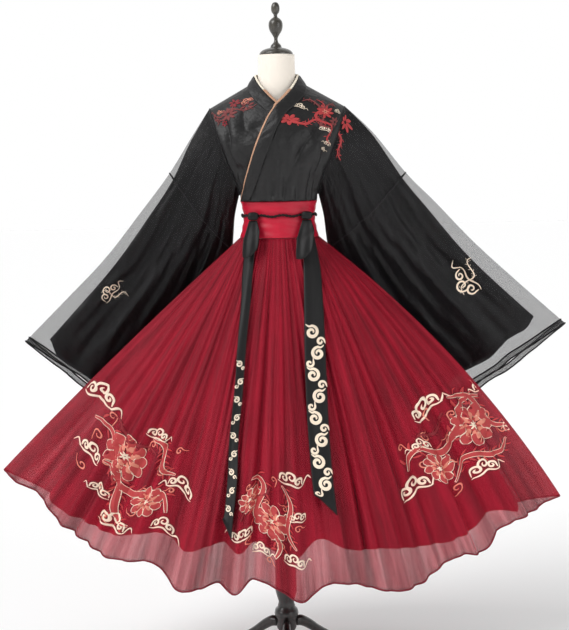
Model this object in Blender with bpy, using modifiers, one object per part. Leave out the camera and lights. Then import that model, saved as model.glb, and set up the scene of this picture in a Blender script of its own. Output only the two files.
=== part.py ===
"""Hanfu dress on a limbless dress form with a turned stand, in metres.

The cloth is built as thin walls. Every sheet is an open grid of points worked
out from named sizes, given its thickness by a Solidify modifier. The front
faces -Y, the floor is z = 0 and the stand's axis is x = y = 0.
"""
import math

import bmesh
import bpy
import numpy as np

# Driving sizes
TOTAL_H = 1.955            # floor to the finial's tip
NECK_TOP = 1.8045          # flat top of the form's neck
SHOULDER_HALF = 0.195      # axis to the shoulder point
SHOULDER_Z = 1.655
NECK_SIDE_X = 0.076        # axis to the side of the neck opening
NECK_SIDE_Z = 1.722
WAIST_Z = 1.345            # the cord's height
BAND_TOP_Z = 1.386
BAND_LOW_Z = 1.282
SKIRT_TOP_Z = 1.2810       # just below the band
TIP_X = {-1: -0.823, 1: 0.814}      # hem points left and right
TIP_Z = {-1: 0.617, 1: 0.507}
TIP_Y = -0.065
HEM_FRONT_Y = -0.360
HEM_BACK_Y = 0.352
HEM_BACK_Z = 0.335
CUFF_LENGTH = 0.60
GATHERS = 60               # round the whole skirt
COLLAR_WIDTH = 0.038
PIPING_WIDTH = 0.0095

# Cloth walls
WALL = 0.0012
WALL_COLLAR = 0.0020
WALL_BAND = 0.0025
WALL_TIE = 0.0015
SEAM_GAP = 0.0004          # half of the space left between two panels

for old in list(bpy.data.objects):
    bpy.data.objects.remove(old, do_unlink=True)


# Colour, roughness and metal of each material
LOOKS = {
    "ivory_cotton": ((0.84, 0.79, 0.71), 0.85, 0.0),
    "olive_wood": ((0.105, 0.085, 0.062), 0.35, 0.0),
    "dark_wood": ((0.030, 0.022, 0.018), 0.35, 0.0),
    "black_gauze": ((0.030, 0.030, 0.033), 0.7, 0.0),
    "black_lining": ((0.018, 0.018, 0.020), 0.8, 0.0),
    "red_satin": ((0.50, 0.020, 0.045), 0.35, 0.0),
    "red_gauze": ((0.33, 0.030, 0.065), 0.6, 0.0),
    "red_lining": ((0.16, 0.008, 0.022), 0.6, 0.0),
    "cream_piping": ((0.62, 0.50, 0.36), 0.7, 0.0),
    "black_cord": ((0.012, 0.012, 0.014), 0.5, 0.0),
}


def look(name):
    material = bpy.data.materials.get(name)
    if material is None:
        colour, rough, metal = LOOKS[name]
        material = bpy.data.materials.new(name)
        material.use_nodes = True
        shader = material.node_tree.nodes["Principled BSDF"]
        shader.inputs["Base Color"].default_value = (*colour, 1.0)
        shader.inputs["Roughness"].default_value = rough
        shader.inputs["Metallic"].default_value = metal
        material.diffuse_color = (*colour, 1.0)
    return material


def add_object(name, verts, faces, material):
    """A mesh object in a collection of its own name."""
    mesh = bpy.data.meshes.new(name)
    mesh.from_pydata([tuple(float(c) for c in v) for v in verts], [], faces)
    mesh.update()
    mesh.materials.append(look(material))
    obj = bpy.data.objects.new(name, mesh)
    group = bpy.data.collections.new(name)
    bpy.context.scene.collection.children.link(group)
    group.objects.link(obj)
    return obj


def sheet(name, grid, material, wall=WALL, round_trip=False, facing=None):
    """Cloth through a grid of points; the wall grows away from `facing`."""
    grid = np.asarray(grid, float)
    rows, cols = grid.shape[:2]
    verts = grid.reshape(-1, 3)
    faces = []
    last = cols if round_trip else cols - 1
    for i in range(rows - 1):
        for j in range(last):
            k = (j + 1) % cols
            faces.append((i * cols + j, i * cols + k,
                          (i + 1) * cols + k, (i + 1) * cols + j))
    if facing is not None:
        middle = np.asarray(facing, float)
        total = 0.0
        for f in faces:
            a, b, c, d = (verts[n] for n in f)
            normal = np.cross(c - a, d - b)
            out = (a + b + c + d) / 4 - middle
            out[2] = 0.0
            total += float(normal @ out)
        if total < 0:
            faces = [f[::-1] for f in faces]
    obj = add_object(name, verts, faces, material)
    solid = obj.modifiers.new("wall", "SOLIDIFY")
    solid.thickness = wall
    solid.offset = 1.0
    solid.use_even_offset = False
    solid.use_rim = True
    return obj


def part_edges(grid, left=True, right=True, gap=SEAM_GAP):
    """Draw the side edges of a panel back from its neighbours."""
    grid = np.array(grid, float)
    if left:
        step = grid[:, 1] - grid[:, 0]
        grid[:, 0] += gap * step / np.linalg.norm(step, axis=1)[:, None]
    if right:
        step = grid[:, -2] - grid[:, -1]
        grid[:, -1] += gap * step / np.linalg.norm(step, axis=1)[:, None]
    return grid


def table(rows, column, at):
    """Smooth value of a table's column at a place along its first column."""
    rows = np.asarray(rows, float)
    keys, values = rows[:, 0], rows[:, column]
    at = float(np.clip(at, keys[0], keys[-1]))
    slope = np.gradient(values, keys)
    i = int(np.clip(np.searchsorted(keys, at) - 1, 0, len(keys) - 2))
    gap = keys[i + 1] - keys[i]
    t = (at - keys[i]) / gap
    h00, h10 = 2 * t**3 - 3 * t**2 + 1, t**3 - 2 * t**2 + t
    h01, h11 = -2 * t**3 + 3 * t**2, t**3 - t**2
    return (h00 * values[i] + h10 * gap * slope[i]
            + h01 * values[i + 1] + h11 * gap * slope[i + 1])


# Form: sections of the padded torso
FORM = [
    # z, half width, front depth, back depth, squareness
    (1.050, 0.128, 0.092, 0.098, 2.0),
    (1.100, 0.132, 0.094, 0.104, 2.0),
    (1.180, 0.122, 0.088, 0.099, 2.0),
    (1.250, 0.108, 0.083, 0.088, 2.0),
    (1.300, 0.1030, 0.085, 0.086, 2.0),
    (1.345, 0.1027, 0.0861, 0.0871, 2.0),
    (1.400, 0.1030, 0.0845, 0.083, 2.0),
    (1.450, 0.107, 0.091, 0.080, 2.1),
    (1.500, 0.124, 0.103, 0.084, 2.2),
    (1.550, 0.138, 0.099, 0.086, 2.3),
    (1.600, 0.150, 0.084, 0.084, 2.4),
    (1.640, 0.146, 0.064, 0.070, 2.3),
    (1.670, 0.110, 0.053, 0.062, 2.1),
    (1.695, 0.077, 0.051, 0.055, 2.0),
    (1.720, 0.060, 0.051, 0.051, 2.0),
    (1.760, 0.0535, 0.051, 0.050, 2.0),
    (NECK_TOP, 0.053, 0.051, 0.050, 2.0),
]
FORM_SEGMENTS = 24

verts, faces = [], []
for z, half, front, back, square in FORM:
    for j in range(FORM_SEGMENTS):
        a = 2 * math.pi * j / FORM_SEGMENTS
        s, c = math.sin(a), math.cos(a)
        e = 2.0 / square
        x = half * math.copysign(abs(s) ** e, s)
        y = -math.copysign(abs(c) ** e, c) * (front if c > 0 else back)
        verts.append((x, y, z))
for i in range(len(FORM) - 1):
    for j in range(FORM_SEGMENTS):
        k = (j + 1) % FORM_SEGMENTS
        n = FORM_SEGMENTS
        faces.append((i * n + j, i * n + k, (i + 1) * n + k, (i + 1) * n + j))
faces.append(tuple(range(FORM_SEGMENTS))[::-1])
faces.append(tuple(range((len(FORM) - 1) * FORM_SEGMENTS,
                         len(FORM) * FORM_SEGMENTS)))
torso = add_object("form_torso", verts, faces, "ivory_cotton")


def turned(name, profile, material, segments=24):
    """A solid turned from its outer profile, top to bottom at +X."""
    verts = [(r, 0.0, z) for r, z in profile]
    mesh = bpy.data.meshes.new(name)
    mesh.from_pydata(verts, [(i, i + 1) for i in range(len(verts) - 1)], [])
    mesh.materials.append(look(material))
    obj = bpy.data.objects.new(name, mesh)
    group = bpy.data.collections.new(name)
    bpy.context.scene.collection.children.link(group)
    group.objects.link(obj)
    screw = obj.modifiers.new("turn", "SCREW")
    screw.axis = "Z"
    screw.angle = 2 * math.pi
    screw.steps = segments
    screw.render_steps = segments
    screw.use_merge_vertices = True
    screw.merge_threshold = 0.00001
    screw.use_smooth_shade = True
    return obj


CAP = [
    # radius, z
    (0.0, TOTAL_H), (0.006, 1.9535), (0.0105, 1.947), (0.0124, 1.937),
    (0.0105, 1.926), (0.0055, 1.919), (0.0055, 1.913), (0.0120, 1.908),
    (0.0185, 1.900), (0.0204, 1.889), (0.0175, 1.874), (0.0095, 1.861),
    (0.0055, 1.853), (0.0065, 1.842), (0.0148, 1.832), (0.0165, 1.827),
    (0.0300, 1.8225), (0.0430, 1.816), (0.0480, 1.8095), (0.0480, 1.8050),
    (0.0, 1.8050),
]
turned("form_cap_finial", CAP, "olive_wood")

COLUMN = [
    # radius, z
    (0.0, 1.0496), (0.0320, 1.0496), (0.0320, 0.2250), (0.0325, 0.2150),
    (0.0285, 0.1980), (0.0240, 0.1830), (0.0233, 0.1770), (0.0262, 0.1680),
    (0.0262, 0.1630), (0.0336, 0.1560), (0.0362, 0.1440), (0.0336, 0.1330),
    (0.0300, 0.1290), (0.0300, 0.1000), (0.0230, 0.0880), (0.0, 0.0860),
]
turned("stand_column", COLUMN, "dark_wood")

# Legs: sections along the leg, out from the column's foot
LEG = [
    # out from the axis, centre height, half height, half width
    (0.0303, 0.1120, 0.0150, 0.0120),
    (0.0480, 0.1110, 0.0170, 0.0130),
    (0.0760, 0.0960, 0.0180, 0.0130),
    (0.1150, 0.0660, 0.0170, 0.0125),
    (0.1600, 0.0380, 0.0150, 0.0125),
    (0.2100, 0.0190, 0.0130, 0.0130),
    (0.2500, 0.0130, 0.0130, 0.0150),
]
for name, turn in (("stand_leg_front", -90.0), ("stand_leg_left", 150.0),
                   ("stand_leg_right", 30.0)):
    a = math.radians(turn)
    out = np.array((math.cos(a), math.sin(a), 0.0))
    side = np.array((-math.sin(a), math.cos(a), 0.0))
    verts, faces, n = [], [], 8
    for i, (r, z, hh, hw) in enumerate(LEG):
        flat = i >= 5
        for j in range(n):
            b = 2 * math.pi * (j + 0.5) / n
            up = hh * math.sin(b) * 1.082
            across = hw * math.cos(b) * 1.082
            if flat and up < 0:
                up = -z if i == 6 else max(up, -z + 0.0)
                up = -z
            p = out * r + side * across + np.array((0, 0, z + up))
            verts.append(p)
    # the pad's underside lies flat on the floor
    for i in range(len(LEG) - 1):
        for j in range(n):
            k = (j + 1) % n
            faces.append((i * n + j, i * n + k,
                          (i + 1) * n + k, (i + 1) * n + j))
    faces.append(tuple(range(n))[::-1])
    faces.append(tuple(range((len(LEG) - 1) * n, len(LEG) * n)))
    obj = add_object(name, verts, faces, "dark_wood")
    mesh = bmesh.new()
    mesh.from_mesh(obj.data)
    bmesh.ops.recalc_face_normals(mesh, faces=mesh.faces)
    mesh.to_mesh(obj.data)
    mesh.free()
mesh = bmesh.new()
mesh.from_mesh(torso.data)
bmesh.ops.recalc_face_normals(mesh, faces=mesh.faces)
mesh.to_mesh(torso.data)
mesh.free()

# Bodice: sections from the shoulder ridge (v = 0) to the waist (v = 1)
BODICE = [
    # v, half width, front depth, back depth, half the armhole's opening
    (0.00, 0.195, 0.000, 0.000, 0.000),
    (0.03, 0.192, 0.027, 0.032, 0.018),
    (0.08, 0.188, 0.050, 0.058, 0.034),
    (0.16, 0.181, 0.070, 0.076, 0.048),
    (0.28, 0.171, 0.092, 0.090, 0.057),
    (0.42, 0.159, 0.112, 0.097, 0.060),
    (0.56, 0.146, 0.117, 0.097, 0.054),
    (0.70, 0.131, 0.110, 0.094, 0.042),
    (0.82, 0.119, 0.100, 0.090, 0.026),
    (0.92, 0.1125, 0.093, 0.091, 0.0045),
    (1.00, 0.1105, 0.0900, 0.0890, 0.0002),
]
BODICE_LOW_Z = 1.3864      # just above the band


def shoulder_z(x):
    """Height of the shoulder ridge at a distance from the axis."""
    x = abs(x)
    slope = (NECK_SIDE_Z - SHOULDER_Z) / (SHOULDER_HALF - NECK_SIDE_X)
    if x >= NECK_SIDE_X:
        return NECK_SIDE_Z - slope * (x - NECK_SIDE_X)
    return NECK_SIDE_Z + 0.35 * (NECK_SIDE_X - x)


def bodice(angle, v, out=0.0, back=False, ease=1.0):
    """A point of the bodice; angle in degrees from the centre line."""
    a = math.radians(angle)
    s, c = math.sin(a), max(math.cos(a), 0.0)
    half = table(BODICE, 1, v)
    depth = table(BODICE, 3 if back else 2, v)
    edge = table(BODICE, 4, v)
    power = 1.0 + 0.0 * v
    x = half * s
    y = edge + max(depth - edge, 0.0) * c ** power
    z = shoulder_z(SHOULDER_HALF * s) * (1 - v) + BODICE_LOW_Z * v
    # soft drag folds that run from the shoulder down to the waist
    fold = 0.0022 * math.sin(7.0 * a + 2.2 * v) * math.sin(math.pi * min(v, 1))
    lift = math.exp(-(v / 0.07) ** 2)
    d = out + fold * ease * c
    nx, ny = s * (1 - lift) , c + 0.35 * lift
    length = math.hypot(math.hypot(nx, ny), lift)
    x += d * nx / length
    y += d * ny / length
    z += d * lift / length
    return np.array((x, y if back else -y, z))


# Neckline of the front that laps over: angle from the centre line at each v
NECKLINE = [
    # v, angle in degrees, right side positive
    (0.00, 23.0), (0.04, 20.0), (0.10, 13.5), (0.17, 6.5), (0.22, 2.0),
    (0.30, -6.0), (0.40, -13.5), (0.55, -24.0), (0.70, -36.0),
    (0.85, -50.0), (1.00, -66.0),
]
V_ROWS = (0.0, 0.03, 0.07, 0.12, 0.18, 0.25, 0.33, 0.42, 0.53, 0.65, 0.78,
          0.90, 1.0)
FRONT_COLS = 16
UNDER_REACH = 34.0         # degrees past the centre line, hidden
UNDER_OUT, OVER_OUT = 0.0, 0.0072

for name, side, out in (("bodice_front_under", -1, UNDER_OUT),
                        ("bodice_front_over", 1, OVER_OUT)):
    grid = []
    for v in V_ROWS:
        inner = table(NECKLINE, 1, v)
        if side < 0:
            inner = max(inner, -UNDER_REACH)
        row = []
        for j in range(FRONT_COLS):
            t = j / (FRONT_COLS - 1)
            angle = inner + (90.0 - inner) * t
            # the lap lies out only where the two fronts cross
            cross = min(max((v - 0.05) / 0.08, 0.0), 1.0)
            free = min(max(8.0 - inner, 8.0), UNDER_REACH + 8.0)
            fade = max(0.0, angle - free) / (90.0 - free)
            ease_out = out * cross * (1.0 - fade)
            row.append(bodice(side * angle, v, ease_out + 0.0004))
        grid.append(row)
    grid = np.array(grid)
    grid[0, :, 1] -= 0.00018
    sheet(name, grid, "black_gauze", facing=(0, 0.02, 1.5))

BACK_COLS = 15
grid = []
for v in V_ROWS:
    row = []
    for j in range(BACK_COLS):
        angle = -90.0 + 180.0 * j / (BACK_COLS - 1)
        dip = 0.075 * max(0.0, 1 - (abs(angle) / 24.0) ** 2)
        row.append(bodice(angle, dip + (1 - dip) * v, 0.0004, back=True))
    grid.append(row)
grid = np.array(grid)
grid[0, :, 1] += 0.00018
sheet("bodice_back", grid, "black_gauze", facing=(0, 0, 1.5))


# Collar: its path runs from the centre back round the neck to the front
def collar_point(side, out, t, w):
    """A point of the band: t along it, w from 0 (neck edge) to 1."""
    if t < 0.30:
        a = math.radians(180.0 - 90.0 * t / 0.30)
        up = 0.5 - 0.5 * math.cos(math.pi * t / 0.30)
        inner = np.array((0.066 * math.sin(a), -0.066 * math.cos(a),
                          1.752 - 0.006 * up))
        low = np.array((0.0800 * math.sin(a), -0.0770 * math.cos(a),
                        1.7205 + 0.006 * up))
        p = inner * (1 - w) + low * w
        return p * (side, 1, 1)
    v = (t - 0.30) / 0.70
    v = 0.015 + 0.985 * v ** 1.15
    angle = table(NECKLINE, 1, v)
    wide = math.degrees(COLLAR_WIDTH * 1.12 / table(BODICE, 1, v))
    on_front = bodice(side * min(angle + wide * w, 80.0),
                      max(v - 0.012 * w, 0.0), out)
    blend = max(0.0, 1 - (t - 0.30) / 0.16)
    blend = blend * blend * (3 - 2 * blend)
    along = t - 0.30
    neck_in = np.array(((0.066 - 0.10 * along) * side, -0.001 - 0.42 * along,
                        1.746 - 0.12 * along))
    neck_low = np.array(((0.080 + 0.02 * along) * side, -0.42 * along,
                         1.7265 - 0.10 * along))
    neck = neck_in * (1 - w) + neck_low * w
    return neck * blend + on_front * (1 - blend)


COLLAR_STEPS = 24
for name, pipe, side, out, wall in (
        ("collar_under", "piping_under", -1, UNDER_OUT + 0.0024, 0.0014),
        ("collar_over", "piping_over", 1, OVER_OUT + 0.0038, WALL_COLLAR)):
    band, strip = [], []
    for i in range(COLLAR_STEPS):
        t = i / (COLLAR_STEPS - 1)
        if name == "collar_under":
            t *= 0.70
        row = [collar_point(side, out, t, w) for w in (0.0, 0.34, 0.67, 1.0)]
        band.append(row)
        across = row[1] - row[0]
        across /= np.linalg.norm(across)
        if t >= 0.10:
            strip.append([row[0] - across * (PIPING_WIDTH + 0.0008),
                          row[0] - across * 0.0008])
    band = np.array(band)
    band[0, :, 0] = side * 0.0005
    sheet(name, band, "black_gauze", wall, facing=(0, 0, 1.6))
    sheet(pipe, np.array(strip), "cream_piping", 0.0011, facing=(0, 0, 1.6))

# Waistband and cord: rings round the waist
BAND = [
    # z, half width, front depth, back depth
    (BAND_LOW_Z, 0.1145, 0.0960, 0.0960),
    (1.3100, 0.1075, 0.0900, 0.0910),
    (1.3450, 0.1035, 0.0870, 0.0880),
    (1.3680, 0.1068, 0.0880, 0.0885),
    (BAND_TOP_Z, 0.1112, 0.0906, 0.0896),
]
BAND_SEGMENTS = 32


def band_point(angle, z, out=0.0):
    a = math.radians(angle)
    half, front = table(BAND, 1, z), table(BAND, 2, z)
    back = table(BAND, 3, z)
    s, c = math.sin(a), math.cos(a)
    return np.array(((half + out) * s,
                     -(front + out) * c if c > 0 else -(back + out) * c, z))


band = [[band_point(360.0 * j / BAND_SEGMENTS, row[0])
         for j in range(BAND_SEGMENTS)] for row in BAND]
sheet("waistband", band, "red_satin", WALL_BAND, True, (0, 0, 1.3))

cord = []
for edge in (-0.5, 0.5):
    cord.append([])
    for j in range(BAND_SEGMENTS + 8):
        angle = 360.0 * j / (BAND_SEGMENTS + 8)
        wave = 0.0020 * math.sin(math.radians(angle) * 11 + 0.6)
        z = WAIST_Z + wave + edge * 0.0095
        cord[-1].append(band_point(angle, z, WALL_BAND + 0.0012))
sheet("waist_cord", cord, "black_cord", WALL_TIE, True, (0, 0, 1.3))

# Skirt: front hem stations, from the left point to the right one
HEM_FRONT = [
    # place across (-1 left, 1 right), height of the hem, push to the front
    (-1.000, 0.617, 0.000), (-0.930, 0.583, 0.000), (-0.855, 0.548, 0.004),
    (-0.800, 0.503, 0.006), (-0.730, 0.466, 0.004), (-0.626, 0.404, 0.010),
    (-0.530, 0.397, 0.000), (-0.440, 0.388, -0.008), (-0.370, 0.330, 0.016),
    (-0.290, 0.334, 0.006), (-0.225, 0.345, -0.014), (-0.170, 0.326, 0.030),
    (-0.115, 0.360, -0.012), (-0.040, 0.344, 0.004), (0.060, 0.306, 0.026),
    (0.125, 0.338, -0.012), (0.220, 0.341, 0.002), (0.375, 0.316, 0.018),
    (0.480, 0.328, 0.008), (0.550, 0.368, -0.010), (0.610, 0.388, 0.000),
    (0.690, 0.386, 0.012), (0.770, 0.448, -0.004), (0.855, 0.471, 0.004),
    (0.930, 0.492, 0.002), (1.000, 0.507, 0.000),
]
HEM_BACK = [
    # place across, height of the hem, push to the back
    (-1.000, 0.617, 0.000), (-0.900, 0.545, 0.010), (-0.780, 0.462, -0.010),
    (-0.660, 0.425, 0.016), (-0.540, 0.372, -0.012), (-0.420, 0.352, 0.018),
    (-0.300, 0.344, -0.014), (-0.170, 0.326, 0.014), (-0.050, 0.338, -0.012),
    (0.080, 0.328, 0.016), (0.210, 0.340, -0.014), (0.330, 0.334, 0.014),
    (0.460, 0.362, -0.012), (0.580, 0.372, 0.014), (0.700, 0.416, -0.010),
    (0.820, 0.448, 0.012), (0.920, 0.482, 0.000), (1.000, 0.507, 0.000),
]
COLS = GATHERS // 2 * 2            # columns on each side of the skirt
ROWS = (0.0, 0.045, 0.14, 0.28, 0.46, 0.64, 0.82, 1.0)
WAIST_RX, WAIST_RY = 0.1140, 0.0955


def uneven(n, k):
    """A repeatable number from 0 to 1 for fold n."""
    return (math.sin(n * 12.9898 + k * 78.233) * 43758.5453) % 1.0


def skirt(col, s, back=False, out=0.0, waves=1.0):
    """A point of the overlay; col 0..COLS from left to right, s 0..1 down."""
    u = -1.0 + 2.0 * col / COLS
    a = math.radians(90.0 * u)
    side = -1 if u < 0 else 1
    way = 1.0 if back else -1.0
    top = np.array((WAIST_RX * math.sin(a), way * WAIST_RY * math.cos(a),
                    SKIRT_TOP_Z))
    rows = HEM_BACK if back else HEM_FRONT
    deep = (HEM_BACK_Y - TIP_Y) if back else (TIP_Y - HEM_FRONT_Y)
    curve = 1 - abs(u) ** (2.1 if back else 1.8)
    push = table(rows, 2, u)
    hem = np.array((TIP_X[side] * abs(u), TIP_Y + way * (deep * curve + push),
                    table(rows, 1, u)))
    p = top * (1 - s) + hem * s
    # swell of the cloth between waist and hem: to the side, front and back
    bow = 4 * s * (1 - s)
    lift = 0.009 if side < 0 else 0.046
    lift *= abs(u) ** 1.5
    chord = hem - top
    chord /= np.linalg.norm(chord)
    p[0] += side * lift * bow * abs(chord[2])
    p[2] += lift * bow * abs(chord[0])
    p[1] += way * 0.012 * bow * (1 - abs(u) ** 2)
    # gathers, fine at the band and broad at the hem
    normal = np.array((chord[0] * 0.25 + side * 0.55 * abs(u) ** 1.3,
                       way * (1 - 0.35 * abs(u) ** 2), 0.12))
    normal /= np.linalg.norm(normal)
    edge = min(1.0, (1 - abs(u)) / 0.07) ** 0.8
    crest = 1.0 if col % 2 == 0 else -1.0
    k = 2.0 if back else 1.0
    grow = 0.0011 + 0.0105 * s ** 0.9
    fine = crest * grow * (0.55 + 0.75 * uneven(col // 2, k))
    broad = 0.010 * s ** 1.3 * math.sin(9.3 * u * 3 + 2.1 * s + k * 1.7)
    return p + normal * ((fine + broad) * edge * waves + out)


GORES = (("left", 0, 20), ("mid", 20, 40), ("right", 40, 60))
for back in (False, True):
    where = "back" if back else "front"
    for part, first, last in GORES:
        grid = [[skirt(col, s, back) for col in range(first, last + 1)]
                for s in ROWS]
        grid = part_edges(grid, gap=0.0006)
        if part == "left":
            grid[:, 0, 1] += 0.0011 * (1 if back else -1)
        if part == "right":
            grid[:, -1, 1] += 0.0011 * (1 if back else -1)
        sheet(f"overlay_{where}_{part}", grid, "red_gauze",
              facing=(0, 0, 1.0))

# Lining: follows every second column of the overlay, 5 mm inside it
LINING_IN = -0.0052
LINING_TOP = -0.0017
LINING_EDGE = [
    # place across, share of the overlay's length that the lining covers
    (-0.84, 0.990), (-0.70, 0.955), (-0.56, 0.925), (-0.44, 0.910),
    (-0.30, 0.885), (-0.15, 0.892), (0.00, 0.898), (0.10, 0.868),
    (0.24, 0.905), (0.36, 0.885), (0.46, 0.900), (0.58, 0.955),
    (0.72, 0.935), (0.84, 0.985),
]
LINING_ROWS = (0.03, 0.28, 0.64, 1.0)


def lining(col, s, back):
    u = -1.0 + 2.0 * col / COLS
    reach = table(LINING_EDGE, 1, u) if not back else 0.93
    inside = LINING_TOP + (LINING_IN - LINING_TOP) * min(1.0, s / 0.10)
    return skirt(col, s * reach, back, inside)


for back in (False, True):
    where = "back" if back else "front"
    for part, cols in (("left", list(range(5, 30, 2)) + [30]),
                       ("right", [30] + list(range(31, 56, 2)))):
        grid = []
        for s in (0.0, 0.14, 0.30, 0.50, 0.75, 1.0):
            row = [lining(c, s, back) for c in cols]
            mid = cols.index(30)
            # the middle column is drawn in between its two neighbours
            lc, rc = (lining(29, s, back), lining(31, s, back))
            row[mid] = (lc + rc) / 2
            # the side runs round to meet the other half
            end = 0 if part == "left" else len(row) - 1
            here = row[end]
            there = lining(cols[end], s, not back)
            middle = (here + there) / 2
            span = np.linalg.norm(here - there)
            sign = -1 if part == "left" else 1
            spread = min(1.0, (s + 0.015) / 0.15)
            middle[0] += sign * 0.16 * span * spread
            way = 1 if back else -1
            middle[1] += way * 0.0002
            quarter = (here * 0.55 + middle * 0.45)
            quarter[0] += sign * 0.06 * span * spread
            if part == "left":
                row = [middle, quarter] + row
            else:
                row = row + [quarter, middle]
            grid.append(row)
        grid = part_edges(grid, left=part == "right", right=part == "left")
        sheet(f"lining_{where}_{part}", grid, "red_lining",
              facing=(0, 0, 1.0))

# Sleeves: sections from the armhole (0) to the cuff (1)
SLEEVE = {
    -1: [
        # s, upper edge x y z, lower edge x y z, half depth
        (0.00, -0.1965, 0.000, 1.6565, -0.1160, 0.000, 1.4000, 0.0600),
        (0.12, -0.252, 0.000, 1.572, -0.1300, 0.030, 1.3450, 0.0560),
        (0.27, -0.317, 0.010, 1.473, -0.1420, 0.080, 1.2400, 0.0460),
        (0.45, -0.406, 0.020, 1.360, -0.1750, 0.140, 1.1050, 0.0440),
        (0.65, -0.521, 0.035, 1.221, -0.2250, 0.205, 0.9400, 0.0460),
        (0.83, -0.644, 0.050, 1.099, -0.2850, 0.262, 0.7800, 0.0470),
        (1.00, -0.767, 0.060, 0.979, -0.3500, 0.312, 0.6200, 0.0420),
    ],
    1: [
        (0.00, 0.1965, 0.000, 1.6565, 0.1160, 0.000, 1.4000, 0.0600),
        (0.12, 0.270, 0.000, 1.587, 0.1300, 0.030, 1.3450, 0.0560),
        (0.27, 0.371, 0.010, 1.463, 0.1450, 0.080, 1.2400, 0.0460),
        (0.45, 0.455, 0.018, 1.378, 0.1900, 0.140, 1.1050, 0.0440),
        (0.65, 0.580, 0.030, 1.248, 0.2550, 0.205, 0.9500, 0.0460),
        (0.83, 0.712, 0.032, 1.126, 0.3350, 0.260, 0.8000, 0.0470),
        (1.00, 0.845, 0.032, 1.007, 0.4200, 0.305, 0.6500, 0.0420),
    ],
}
SLEEVE_LINING = {
    # share of the sleeve's length, upper edge's drop down the section,
    # lower edge's rise up the section
    -1: [(0.00, 0.030, 0.016), (0.12, 0.090, 0.020), (0.27, 0.070, 0.030),
         (0.45, 0.080, 0.030), (0.65, 0.085, 0.030), (0.925, 0.080, 0.030)],
    1: [(0.00, 0.030, 0.016), (0.12, 0.080, 0.020), (0.27, 0.060, 0.030),
        (0.45, 0.080, 0.030), (0.65, 0.085, 0.030), (0.925, 0.080, 0.030)],
}


def sleeve(side, s, t, back=False, inset=0.0):
    """A point of a sleeve: s along the arm, t from its top edge down."""
    rows = SLEEVE[side]
    upper = np.array([table(rows, c, s) for c in (1, 2, 3)])
    lower = np.array([table(rows, c, s) for c in (4, 5, 6)])
    deep = table(rows, 7, s) - inset
    p = upper + (lower - upper) * t
    way = 1.0 if back else -1.0
    blend = min(s / 0.13, 1.0)
    blend = blend * blend * (3 - 2 * blend)
    shape = math.sin(math.pi * t) ** 0.70
    fall = 0.012 * math.sin(math.pi * t) * blend
    # long soft folds that fan out of the shoulder
    k = 0.9 if back else 0.0
    fold = math.sin(2 * math.pi * (2.6 * t + 0.35 * s) + k + 0.4 * side)
    fold += 0.6 * math.sin(2 * math.pi * (4.7 * t - 0.5 * s) + 1.9 * k)
    fold *= 0.0085 * min(s * 2.2, 1.0) * math.sin(math.pi * t) ** 0.6
    depth = deep * shape + fold
    p = p + np.array((0.0, way * max(depth, 0.0), 0.0))
    p[2] -= fall
    # at the armhole the ring lies against the bodice's edge
    hole = bodice(side * 90.0, 0.93 * t, back=back)
    hole[0] += side * (0.0021 + 0.0014 * min(max((t - 0.15) / 0.3, 0.0), 1.0))
    return hole * (1 - blend) + p * blend


S_ROWS = (0.0, 0.06, 0.14, 0.24, 0.36, 0.50, 0.66, 0.83, 1.0)
T_COLS = tuple(min(v / 0.93, 1.0) for v in V_ROWS)
for side, hand in ((-1, "left"), (1, "right")):
    for back in (False, True):
        where = "back" if back else "front"
        way = 1 if back else -1
        grid = []
        for s in S_ROWS:
            row = [sleeve(side, s, t, back) for t in T_COLS]
            row = [p + np.array((0.0, way * 0.00018, 0.0)) for p in row]
            grid.append(row)
        obj = sheet(f"sleeve_{hand}_{where}", grid, "black_gauze")
        # the wall grows to the front on the front wall, back on the other
        poly = obj.data.polygons
        total = sum(p.normal[1] * p.area for p in poly)
        if total * way < 0:
            obj.data.flip_normals()

LINING_S = (0.035, 0.14, 0.28, 0.48, 0.70, 0.925)
LINING_T = (0.0, 0.08, 0.24, 0.42, 0.60, 0.78, 0.93, 1.0)
for side, hand in ((-1, "left"), (1, "right")):
    for back in (False, True):
        where = "back" if back else "front"
        way = 1 if back else -1
        grid = []
        for s in LINING_S:
            drop = table(SLEEVE_LINING[side], 1, s)
            rise = table(SLEEVE_LINING[side], 2, s)
            row = []
            for t in LINING_T:
                tt = drop + (1 - drop - rise) * t
                # the inner cuff slants out towards its lower corner
                at = s * (1 + 0.045 * t * max(0.0, (s - 0.6) / 0.325))
                p = sleeve(side, at, tt, back)
                middle = (sleeve(side, at, tt, False)
                          + sleeve(side, at, tt, True)) / 2
                share = 0.70 * math.sin(math.pi * min(max(t, 0), 1)) ** 0.35
                if t in (0.0, 1.0):
                    share = 0.0
                q = middle + (p - middle) * share
                q[1] += way * 0.00018
                row.append(q)
            grid.append(row)
        obj = sheet(f"sleeve_lining_{hand}_{where}", grid, "black_lining")
        total = sum(p.normal[1] * p.area for p in obj.data.polygons)
        if total * way < 0:
            obj.data.flip_normals()

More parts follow.
